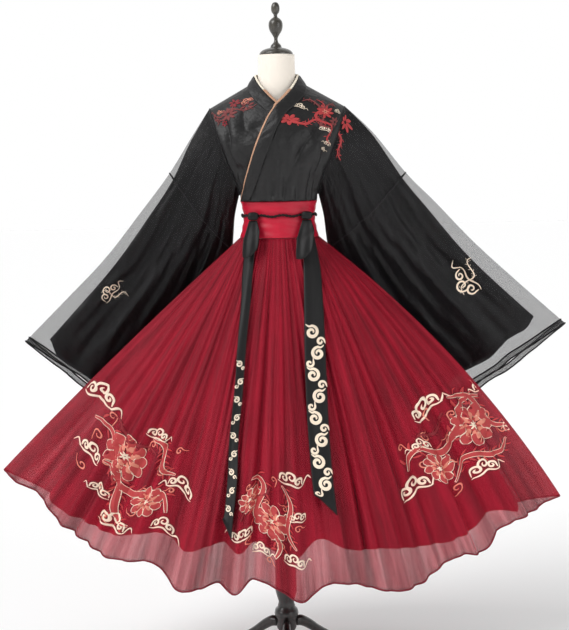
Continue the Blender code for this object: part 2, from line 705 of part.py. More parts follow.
# Ties: a knot, a hanging loop and a long tail on each side
TIE = {
    # knot x, loop half width, loop length, tail rows
    "left": (-0.075, 0.024, 0.112),
    "right": (0.079, 0.026, 0.118),
}
TAIL = {
    "left": [
        # height, distance across, half width
        (1.340, -0.0750, 0.0105), (1.280, -0.0800, 0.0130),
        (1.217, -0.0900, 0.0150), (1.096, -0.1000, 0.0135),
        (1.007, -0.1100, 0.0125), (0.857, -0.1230, 0.0120),
        (0.747, -0.1360, 0.0125), (0.621, -0.1440, 0.0135),
        (0.488, -0.1600, 0.0120),
    ],
    "right": [
        (1.340, 0.0790, 0.0105), (1.280, 0.0840, 0.0170),
        (1.214, 0.0900, 0.0230), (1.092, 0.0930, 0.0275),
        (1.003, 0.0935, 0.0295), (0.873, 0.0950, 0.0300),
        (0.702, 0.1010, 0.0290), (0.573, 0.1120, 0.0290),
        (0.548, 0.1160, 0.0290),
    ],
}
TAIL_STEPS = 17


def front_base(x, s):
    """The front skirt's smooth surface at a distance across and a share."""
    lo, hi = 0.0, float(COLS)
    for _ in range(40):
        mid = (lo + hi) / 2
        if skirt(mid, s, waves=0.0)[0] < x:
            lo = mid
        else:
            hi = mid
    return skirt((lo + hi) / 2, s, waves=0.0)


def tie_base(x, z):
    """The surface that a tie lies on: band above, skirt below."""
    if z > SKIRT_TOP_Z - 0.004:
        half = table(BAND, 1, max(z, BAND_LOW_Z)) + WALL_BAND
        front = table(BAND, 2, max(z, BAND_LOW_Z)) + WALL_BAND
        c = math.sqrt(max(0.0, 1 - (x / half) ** 2))
        return -front * c
    lo, hi = 0.0, 1.0
    for _ in range(40):
        mid = (lo + hi) / 2
        if front_base(x, mid)[2] > z:
            lo = mid
        else:
            hi = mid
    s = (lo + hi) / 2
    return front_base(x, s)[1] - 0.0040 - 0.0165 * s ** 0.75


for hand, (x0, half, length) in TIE.items():
    side = -1 if hand == "left" else 1
    xi = x0 - side * 0.017
    y0 = tie_base(xi, WAIST_Z) + 0.0027
    # knot: a short padded ring of ribbon
    knot = []
    for dz, grow in ((-0.012, 0.78), (-0.006, 0.97), (0.006, 1.0),
                     (0.012, 0.80)):
        ring = []
        for j in range(12):
            a = 2 * math.pi * j / 12
            ring.append((x0 + 0.0150 * grow * math.cos(a),
                         y0 - 0.0100 + 0.0085 * grow * math.sin(a),
                         WAIST_Z + dz))
        knot.append(ring)
    sheet(f"knot_{hand}", knot, "black_cord", WALL_TIE, True,
          (x0, y0 - 0.0100, WAIST_Z))
    # tail: from the knot down the band and the front of the skirt
    tail = []
    rows = TAIL[hand]
    first, last = WAIST_Z - 0.0128, rows[-1][0]
    for i in range(TAIL_STEPS):
        t = i / (TAIL_STEPS - 1)
        z = first + (last - first) * t
        x = table(rows[::-1], 1, z)
        wide = table(rows[::-1], 2, z)
        row = []
        for w in (-1.0, 0.0, 1.0):
            deep = min(tie_base(x + w * wide, z), tie_base(x, z) + 0.010)
            low = 0.006 * max(0.0, (0.9 - z) / 0.35)
            near = max(0.0, 1 - (first - z) / 0.045)
            lie = deep - 0.0009 - 0.0021 * min(t / 0.12, 1.0) - low
            lie -= 0.002 * (1 - abs(w)) * min(t / 0.12, 1.0)
            row.append(np.array((x + w * wide,
                                 lie * (1 - near) + (y0 - 0.0042) * near,
                                 z)))
        if i == TAIL_STEPS - 1:
            row[0][2] += 0.040
            row[2][2] -= 0.020
            row[1][2] += 0.008
        tail.append(row)
    sheet(f"tail_{hand}", tail, "black_cord", WALL_TIE, facing=(0, 0.3, 0.9))
    # loop: down in front of the tail, round and up again behind
    loop = []
    steps = 11
    for i in range(steps):
        a = math.pi * i / (steps - 1)
        drop = math.sin(a) ** 0.8 * length
        under = min(drop / 0.05, 1.0)
        forth = (0.0045 + 0.0035 * under) * math.cos(a)
        z = WAIST_Z - 0.0128 - drop
        swell = 0.50 + 0.50 * min(drop / 0.045, 1.0) + 0.08 * math.sin(a)
        xs = [x0 + half * w * swell + side * 0.06 * drop
              for w in (-1.0, 0.0, 1.0)]
        deep = min(tie_base(x, z) for x in xs) - 0.0185
        deep = (y0 - 0.0128) * (1 - under) + deep * under
        loop.append([(x, deep - forth, z) for x in xs])
    sheet(f"loop_{hand}", loop, "black_cord", WALL_TIE,
          facing=(x0, y0 - 0.012, WAIST_Z))
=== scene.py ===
# %% [markdown]
# # A hanfu dress on its form
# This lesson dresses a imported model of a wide-sleeved dress on a limbless
# form. The solids give every size. Each cloth solid is covered by a finer
# sheet on the same surface, with its creases, hems and stitching.

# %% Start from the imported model
import math

import bmesh
import bpy
import numpy as np
from mathutils import Matrix, Vector


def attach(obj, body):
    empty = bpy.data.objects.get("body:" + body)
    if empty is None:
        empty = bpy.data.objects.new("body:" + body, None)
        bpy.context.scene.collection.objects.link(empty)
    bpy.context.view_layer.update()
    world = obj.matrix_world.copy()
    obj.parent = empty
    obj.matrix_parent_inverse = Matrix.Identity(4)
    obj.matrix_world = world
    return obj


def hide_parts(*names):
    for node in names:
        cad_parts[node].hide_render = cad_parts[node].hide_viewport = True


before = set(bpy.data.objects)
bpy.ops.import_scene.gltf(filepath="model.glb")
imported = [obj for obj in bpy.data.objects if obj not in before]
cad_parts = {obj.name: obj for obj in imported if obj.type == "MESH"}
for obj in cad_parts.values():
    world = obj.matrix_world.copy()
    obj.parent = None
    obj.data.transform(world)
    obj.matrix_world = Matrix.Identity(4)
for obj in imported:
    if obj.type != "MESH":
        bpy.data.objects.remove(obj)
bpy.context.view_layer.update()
print("solids:", len(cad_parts))

# %% [markdown]
# ## Colours
# Dyes are easier to name in the 0 to 255 scale of a dye card. The renderer
# wants linear light, so one helper turns the first into the second.


# %% From a dye card to linear light
def dye(red, green, blue):
    out = []
    for value in (red, green, blue):
        v = value / 255
        out.append(v / 12.92 if v < 0.04045 else ((v + 0.055) / 1.055) ** 2.4)
    return (*out, 1.0)


# %% [markdown]
# ## Cloth finishes
# Woven cloth is threads over and under each other, with a soft bloom where
# loose fibres catch the light. Two crossed wave patterns on the sheet's own
# map, measured in metres, lift the threads and paint light on their tops and
# shade between them, and a slow noise makes the dye a little uneven. Chiffon
# and lining also get long streaks of painted light and shade. Sheer cloth lets
# part of the light straight through.


# %% A woven finish
def woven(name, colour, rough=0.75, sheen=0.25, tint=None, pitch=0.0009,
          lift=0.00012, see_through=0.0, mottle=0.10, crinkle=0.0, gloss=0.35,
          streak_light_and_shade=0.0):
    material = bpy.data.materials.new(name)
    material.use_nodes = True
    nodes, links = material.node_tree.nodes, material.node_tree.links
    shader = nodes["Principled BSDF"]
    shader.inputs["Roughness"].default_value = rough
    shader.inputs["Sheen Weight"].default_value = sheen
    shader.inputs["Sheen Roughness"].default_value = 0.45
    shader.inputs["Sheen Tint"].default_value = tint or colour
    shader.inputs["Specular IOR Level"].default_value = gloss
    shader.inputs["Alpha"].default_value = 1.0 - see_through
    uv = nodes.new("ShaderNodeUVMap")
    uv.uv_map = "cloth"
    height = None
    for axis in ("X", "Y"):
        wave = nodes.new("ShaderNodeTexWave")
        wave.wave_type = "BANDS"
        wave.bands_direction = axis
        wave.inputs["Scale"].default_value = 0.314 / pitch
        wave.inputs["Distortion"].default_value = 0.6
        wave.inputs["Detail"].default_value = 1.0
        links.new(uv.outputs["UV"], wave.inputs["Vector"])
        if height is None:
            height = wave.outputs["Fac"]
        else:
            join = nodes.new("ShaderNodeMath")
            join.operation = "MAXIMUM"
            links.new(height, join.inputs[0])
            links.new(wave.outputs["Fac"], join.inputs[1])
            height = join.outputs[0]
    last = None
    if lift:
        last = nodes.new("ShaderNodeBump")
        last.inputs["Distance"].default_value = lift
        last.inputs["Strength"].default_value = 0.6
        links.new(height, last.inputs["Height"])
    if crinkle:
        soft = nodes.new("ShaderNodeTexNoise")
        soft.inputs["Scale"].default_value = 34.0
        soft.inputs["Detail"].default_value = 3.0
        links.new(uv.outputs["UV"], soft.inputs["Vector"])
        crumple = nodes.new("ShaderNodeBump")
        crumple.inputs["Distance"].default_value = crinkle
        crumple.inputs["Strength"].default_value = 0.8
        links.new(soft.outputs["Fac"], crumple.inputs["Height"])
        if last:
            links.new(last.outputs["Normal"], crumple.inputs["Normal"])
        last = crumple
    if last:
        links.new(last.outputs["Normal"], shader.inputs["Normal"])
    slow = nodes.new("ShaderNodeTexNoise")
    slow.inputs["Scale"].default_value = 9.0
    slow.inputs["Detail"].default_value = 4.0
    links.new(uv.outputs["UV"], slow.inputs["Vector"])
    ramp = nodes.new("ShaderNodeValToRGB")
    dark = [c * (1 - mottle) for c in colour[:3]]
    light = [min(1.0, c * (1 + mottle)) for c in colour[:3]]
    ramp.color_ramp.elements[0].position = 0.35
    ramp.color_ramp.elements[0].color = (*dark, 1)
    ramp.color_ramp.elements[1].position = 0.65
    ramp.color_ramp.elements[1].color = (*light, 1)
    links.new(slow.outputs["Fac"], ramp.inputs["Fac"])
    # painted light and shade: threads are a little lighter on top and darker between, less so on fine cloth
    thread = nodes.new("ShaderNodeMapRange")
    thread.inputs["To Min"].default_value = 0.88 if lift else 0.985
    thread.inputs["To Max"].default_value = 1.08 if lift else 1.01
    links.new(height, thread.inputs["Value"])
    dye_and_thread_shade = nodes.new("ShaderNodeVectorMath")
    dye_and_thread_shade.operation = "SCALE"
    links.new(ramp.outputs["Color"], dye_and_thread_shade.inputs[0])
    links.new(thread.outputs["Result"], dye_and_thread_shade.inputs["Scale"])
    last_colour = dye_and_thread_shade.outputs["Vector"]
    if streak_light_and_shade:
        # painted light and shade: fine uneven streaks along the cloth's length, lighter for the chiffon's bloom and
        # darker for the shade in its gathers
        pull = nodes.new("ShaderNodeMapping")
        pull.inputs["Scale"].default_value = (42.0, 1.6, 1.0)
        links.new(uv.outputs["UV"], pull.inputs["Vector"])
        painted_streak_noise = nodes.new("ShaderNodeTexNoise")
        painted_streak_noise.inputs["Scale"].default_value = 1.0
        painted_streak_noise.inputs["Detail"].default_value = 5.0
        painted_streak_noise.inputs["Roughness"].default_value = 0.6
        links.new(pull.outputs["Vector"], painted_streak_noise.inputs["Vector"])
        shade = nodes.new("ShaderNodeMapRange")
        shade.inputs["From Min"].default_value = 0.35
        shade.inputs["From Max"].default_value = 0.65
        shade.inputs["To Min"].default_value = 1.0 - streak_light_and_shade
        shade.inputs["To Max"].default_value = 1.0 + 0.6 * streak_light_and_shade
        links.new(painted_streak_noise.outputs["Fac"], shade.inputs["Value"])
        scale = nodes.new("ShaderNodeVectorMath")
        scale.operation = "SCALE"
        links.new(last_colour, scale.inputs[0])
        links.new(shade.outputs["Result"], scale.inputs["Scale"])
        last_colour = scale.outputs["Vector"]
        if see_through:
            cover = nodes.new("ShaderNodeMapRange")
            cover.inputs["From Min"].default_value = 0.35
            cover.inputs["From Max"].default_value = 0.65
            cover.inputs["To Min"].default_value = 1.0 - see_through + 0.12
            cover.inputs["To Max"].default_value = 1.0 - see_through - 0.08
            links.new(painted_streak_noise.outputs["Fac"], cover.inputs["Value"])
            links.new(cover.outputs["Result"], shader.inputs["Alpha"])
    links.new(last_colour, shader.inputs["Base Color"])
    material.diffuse_color = colour
    return material


# the red chiffon and red lining carry painted streaks of light and shade
RED_CHIFFON = woven("red chiffon", dye(160, 16, 42), rough=0.65, sheen=0.08,
                    tint=dye(230, 90, 115), see_through=0.37, mottle=0.08,
                    lift=0.0, gloss=0.25, streak_light_and_shade=0.45)
RED_LINING = woven("red lining", dye(132, 8, 32), rough=0.6, sheen=0.08,
                   tint=dye(230, 90, 110), mottle=0.10, gloss=0.3,
                   lift=0.0, streak_light_and_shade=0.25)
RED_SATIN = woven("red satin", dye(184, 14, 46), rough=0.42, sheen=0.05,
                  tint=dye(240, 120, 130), mottle=0.05, gloss=0.4)
DARK_HEM = woven("rolled hem", dye(112, 12, 32), rough=0.6, sheen=0.2)
BLACK_GAUZE = woven("black gauze", dye(28, 27, 29), rough=0.85, sheen=0.10,
                    tint=dye(120, 120, 126), see_through=0.79, mottle=0.05,
                    lift=0.0, gloss=0.1)
FOLDED_GAUZE = woven("folded gauze", dye(26, 25, 27), rough=0.85, sheen=0.1,
                     tint=dye(120, 120, 126), see_through=0.66, lift=0.0)
# painted shade: a darker copy of the black cloth for the bodice and collar, which the key light strikes more squarely
PAINTED_SHADE_CLOTH = woven("bodice cloth", dye(17, 16, 17), rough=0.5, sheen=0.07,
                     tint=dye(130, 126, 130), mottle=0.35, crinkle=0.0060,
                     gloss=0.42, lift=0.0)
BLACK_CLOTH = woven("black cloth", dye(24, 23, 24), rough=0.48, sheen=0.13,
                    tint=dye(130, 126, 130), mottle=0.35, crinkle=0.0060,
                    gloss=0.5, lift=0.0)
BLACK_BINDING = woven("black binding", dye(18, 17, 19), rough=0.6, sheen=0.12)
BLACK_RIBBON = woven("black ribbon", dye(14, 13, 14), rough=0.5, sheen=0.04,
                     tint=dye(110, 110, 116), gloss=0.3)
IVORY = woven("ivory jersey", dye(244, 235, 223), rough=0.85, sheen=0.10,
              tint=dye(255, 250, 240), mottle=0.02, pitch=0.0014)
CREAM_PIPING = woven("cream piping", dye(236, 226, 208), rough=0.6,
                     sheen=0.2)
PIPING = woven("peach piping", dye(190, 146, 118), rough=0.6, sheen=0.2)
THREADS = {
    "cream": woven("cream thread", dye(240, 222, 200), rough=0.5, sheen=0.3,
                   pitch=0.0006, lift=0.0002),
    "coral": woven("coral thread", dye(176, 56, 58), rough=0.5, sheen=0.3,
                   pitch=0.0006, lift=0.0002),
    "rose": woven("rose thread", dye(214, 132, 112), rough=0.5, sheen=0.3,
                  pitch=0.0006, lift=0.0002),
    "wine": woven("wine thread", dye(128, 22, 34), rough=0.5, sheen=0.3,
                  pitch=0.0006, lift=0.0002),
    "dusk": woven("dusk thread", dye(120, 56, 56), rough=0.6, sheen=0.3,
                  pitch=0.0006, lift=0.0002),
}


# %% [markdown]
# ## Wood
# The stand is turned wood under varnish. Long rings of grain run up the
# piece, so the pattern is stretched along its height, and a thin clear coat
# gives the varnish its sharp highlights.


# %% A varnished wood
def varnished(name, light, dark, rough=0.35):
    material = bpy.data.materials.new(name)
    material.use_nodes = True
    nodes, links = material.node_tree.nodes, material.node_tree.links
    shader = nodes["Principled BSDF"]
    shader.inputs["Roughness"].default_value = rough
    shader.inputs["Coat Weight"].default_value = 0.4
    shader.inputs["Coat Roughness"].default_value = 0.15
    place = nodes.new("ShaderNodeTexCoord")
    stretch = nodes.new("ShaderNodeMapping")
    stretch.inputs["Scale"].default_value = (60.0, 60.0, 5.0)
    grain = nodes.new("ShaderNodeTexNoise")
    grain.inputs["Scale"].default_value = 2.0
    grain.inputs["Detail"].default_value = 6.0
    ramp = nodes.new("ShaderNodeValToRGB")
    ramp.color_ramp.elements[0].position = 0.35
    ramp.color_ramp.elements[0].color = dark
    ramp.color_ramp.elements[1].position = 0.70
    ramp.color_ramp.elements[1].color = light
    bump = nodes.new("ShaderNodeBump")
    bump.inputs["Distance"].default_value = 0.0002
    bump.inputs["Strength"].default_value = 0.4
    links.new(place.outputs["Object"], stretch.inputs["Vector"])
    links.new(stretch.outputs["Vector"], grain.inputs["Vector"])
    links.new(grain.outputs["Fac"], ramp.inputs["Fac"])
    links.new(ramp.outputs["Color"], shader.inputs["Base Color"])
    links.new(grain.outputs["Fac"], bump.inputs["Height"])
    links.new(bump.outputs["Normal"], shader.inputs["Normal"])
    return material


OLIVE_WOOD = varnished("olive wood", dye(78, 74, 66), dye(40, 37, 32))
DARK_WOOD = varnished("dark wood", dye(46, 37, 36), dye(20, 15, 15))

# %% [markdown]
# ## Measures
# These are the sizes of the solids, named again here because every crease
# and stitch is placed by them. A short table gives one row for each level or
# fold, and a smooth curve runs through its rows.

# %% Sizes of the dress
SHOULDER_HALF, SHOULDER_Z = 0.195, 1.655
NECK_SIDE_X, NECK_SIDE_Z = 0.076, 1.722
WAIST_Z, BAND_TOP_Z, BAND_LOW_Z = 1.345, 1.386, 1.282
BODICE_LOW_Z, SKIRT_TOP_Z = 1.3864, 1.2810
TIP_X = {-1: -0.823, 1: 0.814}
TIP_Y, HEM_FRONT_Y, HEM_BACK_Y = -0.065, -0.360, 0.352
WAIST_RX, WAIST_RY = 0.1140, 0.0955
COLS = 60
WALL = 0.0009


# %% A smooth curve through a table
def smooth(rows, column, at):
    rows = np.asarray(rows, float)
    keys, values = rows[:, 0], rows[:, column]
    at = np.clip(np.asarray(at, float), keys[0], keys[-1])
    slope = np.gradient(values, keys)
    i = np.clip(np.searchsorted(keys, at) - 1, 0, len(keys) - 2)
    gap = keys[i + 1] - keys[i]
    t = (at - keys[i]) / gap
    h00, h10 = 2 * t**3 - 3 * t**2 + 1, t**3 - 2 * t**2 + t
    h01, h11 = -2 * t**3 + 3 * t**2, t**3 - t**2
    return (h00 * values[i] + h10 * gap * slope[i]
            + h01 * values[i + 1] + h11 * gap * slope[i + 1])


def uneven(n, k):
    return (np.sin(n * 12.9898 + k * 78.233) * 43758.5453) % 1.0


def drift(x, k):
    """A smooth uneven number from 0 to 1 along x."""
    n = np.floor(x)
    t = x - n
    t = t * t * (3 - 2 * t)
    return uneven(n, k) * (1 - t) + uneven(n + 1, k) * t


# %% [markdown]
# ## From a grid of points to a sheet of cloth
# A sheet is a grid of points joined by four-sided faces, with a wall grown
# outwards from it. Its map is laid out in metres along the cloth, so that
# the weave keeps its size on every piece.


# %% Make one sheet
CUT = {}


def deselect():
    bpy.ops.object.select_all(action="DESELECT")


def apply_modifiers(obj):
    deselect()
    obj.select_set(True)
    bpy.context.view_layer.objects.active = obj
    for modifier in list(obj.modifiers):
        bpy.ops.object.modifier_apply(modifier=modifier.name)


def grid_normals(grid, wrap=False):
    if wrap:
        padded = np.concatenate([grid[:, -1:], grid, grid[:, :1]], axis=1)
        across = (padded[:, 2:] - padded[:, :-2])
    else:
        across = np.gradient(grid, axis=1)
    down = np.gradient(grid, axis=0)
    normal = np.cross(across, down)
    return normal / np.maximum(np.linalg.norm(normal, axis=2), 1e-9)[..., None]


def sheet(name, grid, material, wall=WALL, wrap=False, out=None,
          replaces=()):
    """A cloth piece; out is a point that the outer side faces away from."""
    grid = np.asarray(grid, float)
    rows, cols = grid.shape[:2]
    across = np.linalg.norm(np.diff(grid, axis=1), axis=2).mean(axis=0)
    along = np.linalg.norm(np.diff(grid, axis=0), axis=2).mean(axis=1)
    u = np.concatenate([[0.0], np.cumsum(across)])
    v = np.concatenate([[0.0], np.cumsum(along)])
    normals = grid_normals(grid, wrap)
    flip = False
    if wrap or out is not None:
        middle = grid.mean(axis=1, keepdims=True)
        away = grid - (middle if wrap else np.asarray(out, float))
        away[..., 2] *= 0.15
        flip = float((normals * away).sum()) < 0
    faces, maps = [], []
    last = cols if wrap else cols - 1
    for i in range(rows - 1):
        for j in range(last):
            k = (j + 1) % cols
            uk = u[j + 1] if j + 1 < cols else u[j] + across.mean()
            face = [i * cols + j, i * cols + k, (i + 1) * cols + k,
                    (i + 1) * cols + j]
            uvs = [(u[j], v[i]), (uk, v[i]), (uk, v[i + 1]), (u[j], v[i + 1])]
            if not flip:
                face, uvs = face[::-1], uvs[::-1]
            faces.append(face)
            maps.extend(uvs)
    mesh = bpy.data.meshes.new(name)
    mesh.from_pydata([tuple(p) for p in grid.reshape(-1, 3)], [], faces)
    layer = mesh.uv_layers.new(name="cloth")
    layer.data.foreach_set("uv", [c for pair in maps for c in pair])
    mesh.materials.append(material)
    obj = bpy.data.objects.new(f"fine_{name}", mesh)
    bpy.context.scene.collection.objects.link(obj)
    if wall:
        solid = obj.modifiers.new("wall", "SOLIDIFY")
        solid.thickness = wall
        solid.offset = 1.0
        solid.use_even_offset = False
        apply_modifiers(obj)
    for polygon in obj.data.polygons:
        polygon.use_smooth = True
    # laid flat, the cut is as wide as its widest row and as long as its
    # longest column
    widths = np.linalg.norm(np.diff(grid, axis=1), axis=2).sum(axis=1)
    if wrap:
        widths += np.linalg.norm(grid[:, 0] - grid[:, -1], axis=1)
    lengths = np.linalg.norm(np.diff(grid, axis=0), axis=2).sum(axis=0)
    CUT[obj.name] = [max(round(float(x.max()), 3), 0.01)
                     for x in (widths, lengths)]
    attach(obj, "root")
    if replaces:
        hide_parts(*replaces)
    return obj


# %% [markdown]
# ## Cords and rolled hems
# A rolled hem is the cloth's own edge turned over a thread, so it is a thin
# round cord that follows the edge. Each cord is a ring of points carried
# along the edge's path and closed at both ends.


# %% Make one cord
def cord(name, path, radius, material, closed=False, sides=6):
    path = np.asarray(path, float)
    count = len(path)
    if closed:
        tangent = np.roll(path, -1, 0) - np.roll(path, 1, 0)
    else:
        tangent = np.gradient(path, axis=0)
    tangent /= np.maximum(np.linalg.norm(tangent, axis=1), 1e-9)[:, None]
    up = np.array((0.0, 0.0, 1.0))
    side = np.cross(tangent, up)
    weak = np.linalg.norm(side, axis=1) < 0.05
    side[weak] = np.cross(tangent[weak], np.array((0.0, 1.0, 0.0)))
    side /= np.linalg.norm(side, axis=1)[:, None]
    lift = np.cross(side, tangent)
    radius = np.broadcast_to(radius, (count,))
    verts, faces = [], []
    for i in range(count):
        for j in range(sides):
            a = 2 * math.pi * j / sides
            verts.append(path[i] + radius[i] * (math.cos(a) * side[i]
                                                + math.sin(a) * lift[i]))
    for i in range(count if closed else count - 1):
        k = (i + 1) % count
        for j in range(sides):
            m = (j + 1) % sides
            faces.append((i * sides + j, i * sides + m,
                          k * sides + m, k * sides + j))
    if not closed:
        faces.append(tuple(range(sides))[::-1])
        faces.append(tuple(range((count - 1) * sides, count * sides)))
    mesh = bpy.data.meshes.new(name)
    mesh.from_pydata([tuple(p) for p in verts], [], faces)
    mesh.uv_layers.new(name="cloth")
    mesh.materials.append(material)
    tidy = bmesh.new()
    tidy.from_mesh(mesh)
    bmesh.ops.recalc_face_normals(tidy, faces=tidy.faces)
    tidy.to_mesh(mesh)
    tidy.free()
    for polygon in mesh.polygons:
        polygon.use_smooth = True
    obj = bpy.data.objects.new(name, mesh)
    bpy.context.scene.collection.objects.link(obj)
    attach(obj, "root")
    return obj


# %% [markdown]
# ## Satin stitch
# Embroidery is thread laid side by side, so each stroke is a low padded
# strip. It is drawn flat, in metres, and then laid on the cloth: a point of
# the drawing is looked up on the sheet's grid and moved out along its normal.


# %% Lay strokes of thread on a sheet
def on_sheet(grid, normals, row, col, out):
    rows, cols = grid.shape[:2]
    row = np.clip(row, 0, rows - 1.001)
    col = np.clip(col, 0, cols - 1.001)
    i, j = np.floor(row).astype(int), np.floor(col).astype(int)
    a, b = (row - i)[..., None], (col - j)[..., None]

    def blend(field):
        return (field[i, j] * (1 - a) * (1 - b) + field[i + 1, j] * a * (1 - b)
                + field[i, j + 1] * (1 - a) * b + field[i + 1, j + 1] * a * b)

    return blend(grid) + blend(normals) * np.asarray(out)[..., None]


def stitched(name, strokes, place, material, pad=0.0014, lie=0.0005):
    """strokes: (points, half widths) in the drawing's own metres."""
    verts, faces, maps = [], [], []
    for points, half in strokes:
        points = np.asarray(points, float)
        count = len(points)
        half = np.broadcast_to(half, (count,))
        tangent = np.gradient(points, axis=0)
        tangent /= np.maximum(np.linalg.norm(tangent, axis=1), 1e-9)[:, None]
        side = np.stack([-tangent[:, 1], tangent[:, 0]], axis=1)
        base = len(verts)
        left = place(points + side * half[:, None], np.full(count, lie))
        mid = place(points, lie + pad * np.minimum(1.0, half / 0.003))
        right = place(points - side * half[:, None], np.full(count, lie))
        for i in range(count):
            verts += [left[i], mid[i], right[i]]
        for i in range(count - 1):
            a, b = base + 3 * i, base + 3 * (i + 1)
            faces += [(a, b, b + 1, a + 1), (a + 1, b + 1, b + 2, a + 2),
                      (a + 2, b + 2, b, a)]
        faces += [(base, base + 1, base + 2),
                  (base + 3 * (count - 1) + 2, base + 3 * (count - 1) + 1,
                   base + 3 * (count - 1))]
    mesh = bpy.data.meshes.new(name)
    mesh.from_pydata([tuple(p) for p in verts], [], faces)
    mesh.uv_layers.new(name="cloth")
    mesh.materials.append(material)
    tidy = bmesh.new()
    tidy.from_mesh(mesh)
    bmesh.ops.recalc_face_normals(tidy, faces=tidy.faces)
    uv = tidy.loops.layers.uv["cloth"]
    for face in tidy.faces:
        for loop in face.loops:
            loop[uv].uv = (loop.vert.co.x, loop.vert.co.z)
    tidy.to_mesh(mesh)
    tidy.free()
    obj = bpy.data.objects.new(name, mesh)
    bpy.context.scene.collection.objects.link(obj)
    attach(obj, "root")
    return obj


# %% [markdown]
# ## The skirt
# The skirt is a full circle of chiffon gathered into the band and held out
# at both sides, so seen from above it is a lens. Each column runs from the
# band to the hem. Gathers start close together at the band, wander, and
# join into fewer, broader folds at the hem.

# %% Hem of the skirt
HEM_FRONT = [
    # place across (-1 left, 1 right), height of the hem, push to the front
    (-1.000, 0.617, 0.000), (-0.930, 0.583, 0.000), (-0.855, 0.548, 0.004),
    (-0.800, 0.503, 0.006), (-0.730, 0.466, 0.004), (-0.626, 0.404, 0.010),
    (-0.530, 0.397, 0.000), (-0.440, 0.388, -0.008), (-0.370, 0.330, 0.016),
    (-0.290, 0.334, 0.006), (-0.225, 0.345, -0.014), (-0.170, 0.326, 0.030),
    (-0.115, 0.360, -0.012), (-0.040, 0.344, 0.004), (0.060, 0.306, 0.026),
    (0.125, 0.338, -0.012), (0.220, 0.341, 0.002), (0.375, 0.316, 0.018),
    (0.480, 0.328, 0.008), (0.550, 0.368, -0.010), (0.610, 0.388, 0.000),
    (0.690, 0.386, 0.012), (0.770, 0.448, -0.004), (0.855, 0.471, 0.004),
    (0.930, 0.492, 0.002), (1.000, 0.507, 0.000),
]
HEM_BACK = [
    # place across, height of the hem, push to the back
    (-1.000, 0.617, 0.000), (-0.900, 0.545, 0.010), (-0.780, 0.462, -0.010),
    (-0.660, 0.425, 0.016), (-0.540, 0.372, -0.012), (-0.420, 0.352, 0.018),
    (-0.300, 0.344, -0.014), (-0.170, 0.326, 0.014), (-0.050, 0.338, -0.012),
    (0.080, 0.328, 0.016), (0.210, 0.340, -0.014), (0.330, 0.334, 0.014),
    (0.460, 0.362, -0.012), (0.580, 0.372, 0.014), (0.700, 0.416, -0.010),
    (0.820, 0.448, 0.012), (0.920, 0.482, 0.000), (1.000, 0.507, 0.000),
]


# %% A point of the skirt
def skirt(col, s, back=False, out=0.0, waves=1.0):
    col, s = np.broadcast_arrays(np.asarray(col, float), np.asarray(s, float))
    u = -1.0 + 2.0 * col / COLS
    a = np.radians(90.0 * u)
    side = np.where(u < 0, -1.0, 1.0)
    way = 1.0 if back else -1.0
    zero = np.zeros_like(u)
    top = np.stack([WAIST_RX * np.sin(a), way * WAIST_RY * np.cos(a),
                    zero + SKIRT_TOP_Z], -1)
    rows = HEM_BACK if back else HEM_FRONT
    deep = (HEM_BACK_Y - TIP_Y) if back else (TIP_Y - HEM_FRONT_Y)
    curve = 1 - np.abs(u) ** (2.1 if back else 1.8)
    push = smooth(rows, 2, u)
    reach = np.where(u < 0, TIP_X[-1], TIP_X[1])
    hem = np.stack([reach * np.abs(u), TIP_Y + way * (deep * curve + push),
                    smooth(rows, 1, u)], -1)
    p = top * (1 - s[..., None]) + hem * s[..., None]
    bow = 4 * s * (1 - s)
    lift = np.where(side < 0, 0.009, 0.046) * np.abs(u) ** 1.5
    chord = hem - top
    chord = chord / np.linalg.norm(chord, axis=-1)[..., None]
    p[..., 0] += side * lift * bow * np.abs(chord[..., 2])
    p[..., 2] += lift * bow * np.abs(chord[..., 0])
    p[..., 1] += way * 0.012 * bow * (1 - np.abs(u) ** 2)
    normal = np.stack([chord[..., 0] * 0.25 + side * 0.55 * np.abs(u) ** 1.3,
                       way * (1 - 0.35 * np.abs(u) ** 2), zero + 0.12], -1)
    normal /= np.linalg.norm(normal, axis=-1)[..., None]
    edge = np.minimum(1.0, (1 - np.abs(u)) / 0.07) ** 0.8
    k = 2.0 if back else 1.0
    # fine gathers have round tops and narrow valleys, wander a little on their way down and fade unevenly
    wander = 0.9 * s * (drift(col * 0.31 + 2.0 * s, k + 3) - 0.5)
    lane = math.pi * (col + wander * 1.4
                      + 1.5 * (drift(col * 0.37, k + 5) - 0.5))
    crest = 0.45 * np.cos(lane) + 0.55 * (
        2 * np.abs(np.cos(lane / 2)) ** 0.9 - 1)
    grow = 0.0011 + 0.0088 * s ** 0.9
    fade = 0.20 + 1.0 * drift(col * 0.43 + 1.7 * s, k)
    fine = crest * grow * fade
    small = 0.0022 * s ** 0.5 * np.cos(
        2 * math.pi * (col * 0.93 + 1.1 * drift(col * 0.2 + s * 2.1, k + 7)))
    broad = 0.010 * s ** 1.3 * np.sin(9.3 * u * 3 + 2.1 * s + k * 1.7)
    move = (fine + small * (1 - 0.4 * s) + broad) * edge * waves + out
    return p + normal * move[..., None]


# %% [markdown]
# ## The sheer overlay
# Front and back are one sheet each, joined down both sides. A sheet of
# chiffon alone would be half a millimetre thick, and it is drawn a little
# thicker here so that its wall reads as cloth at the hem.

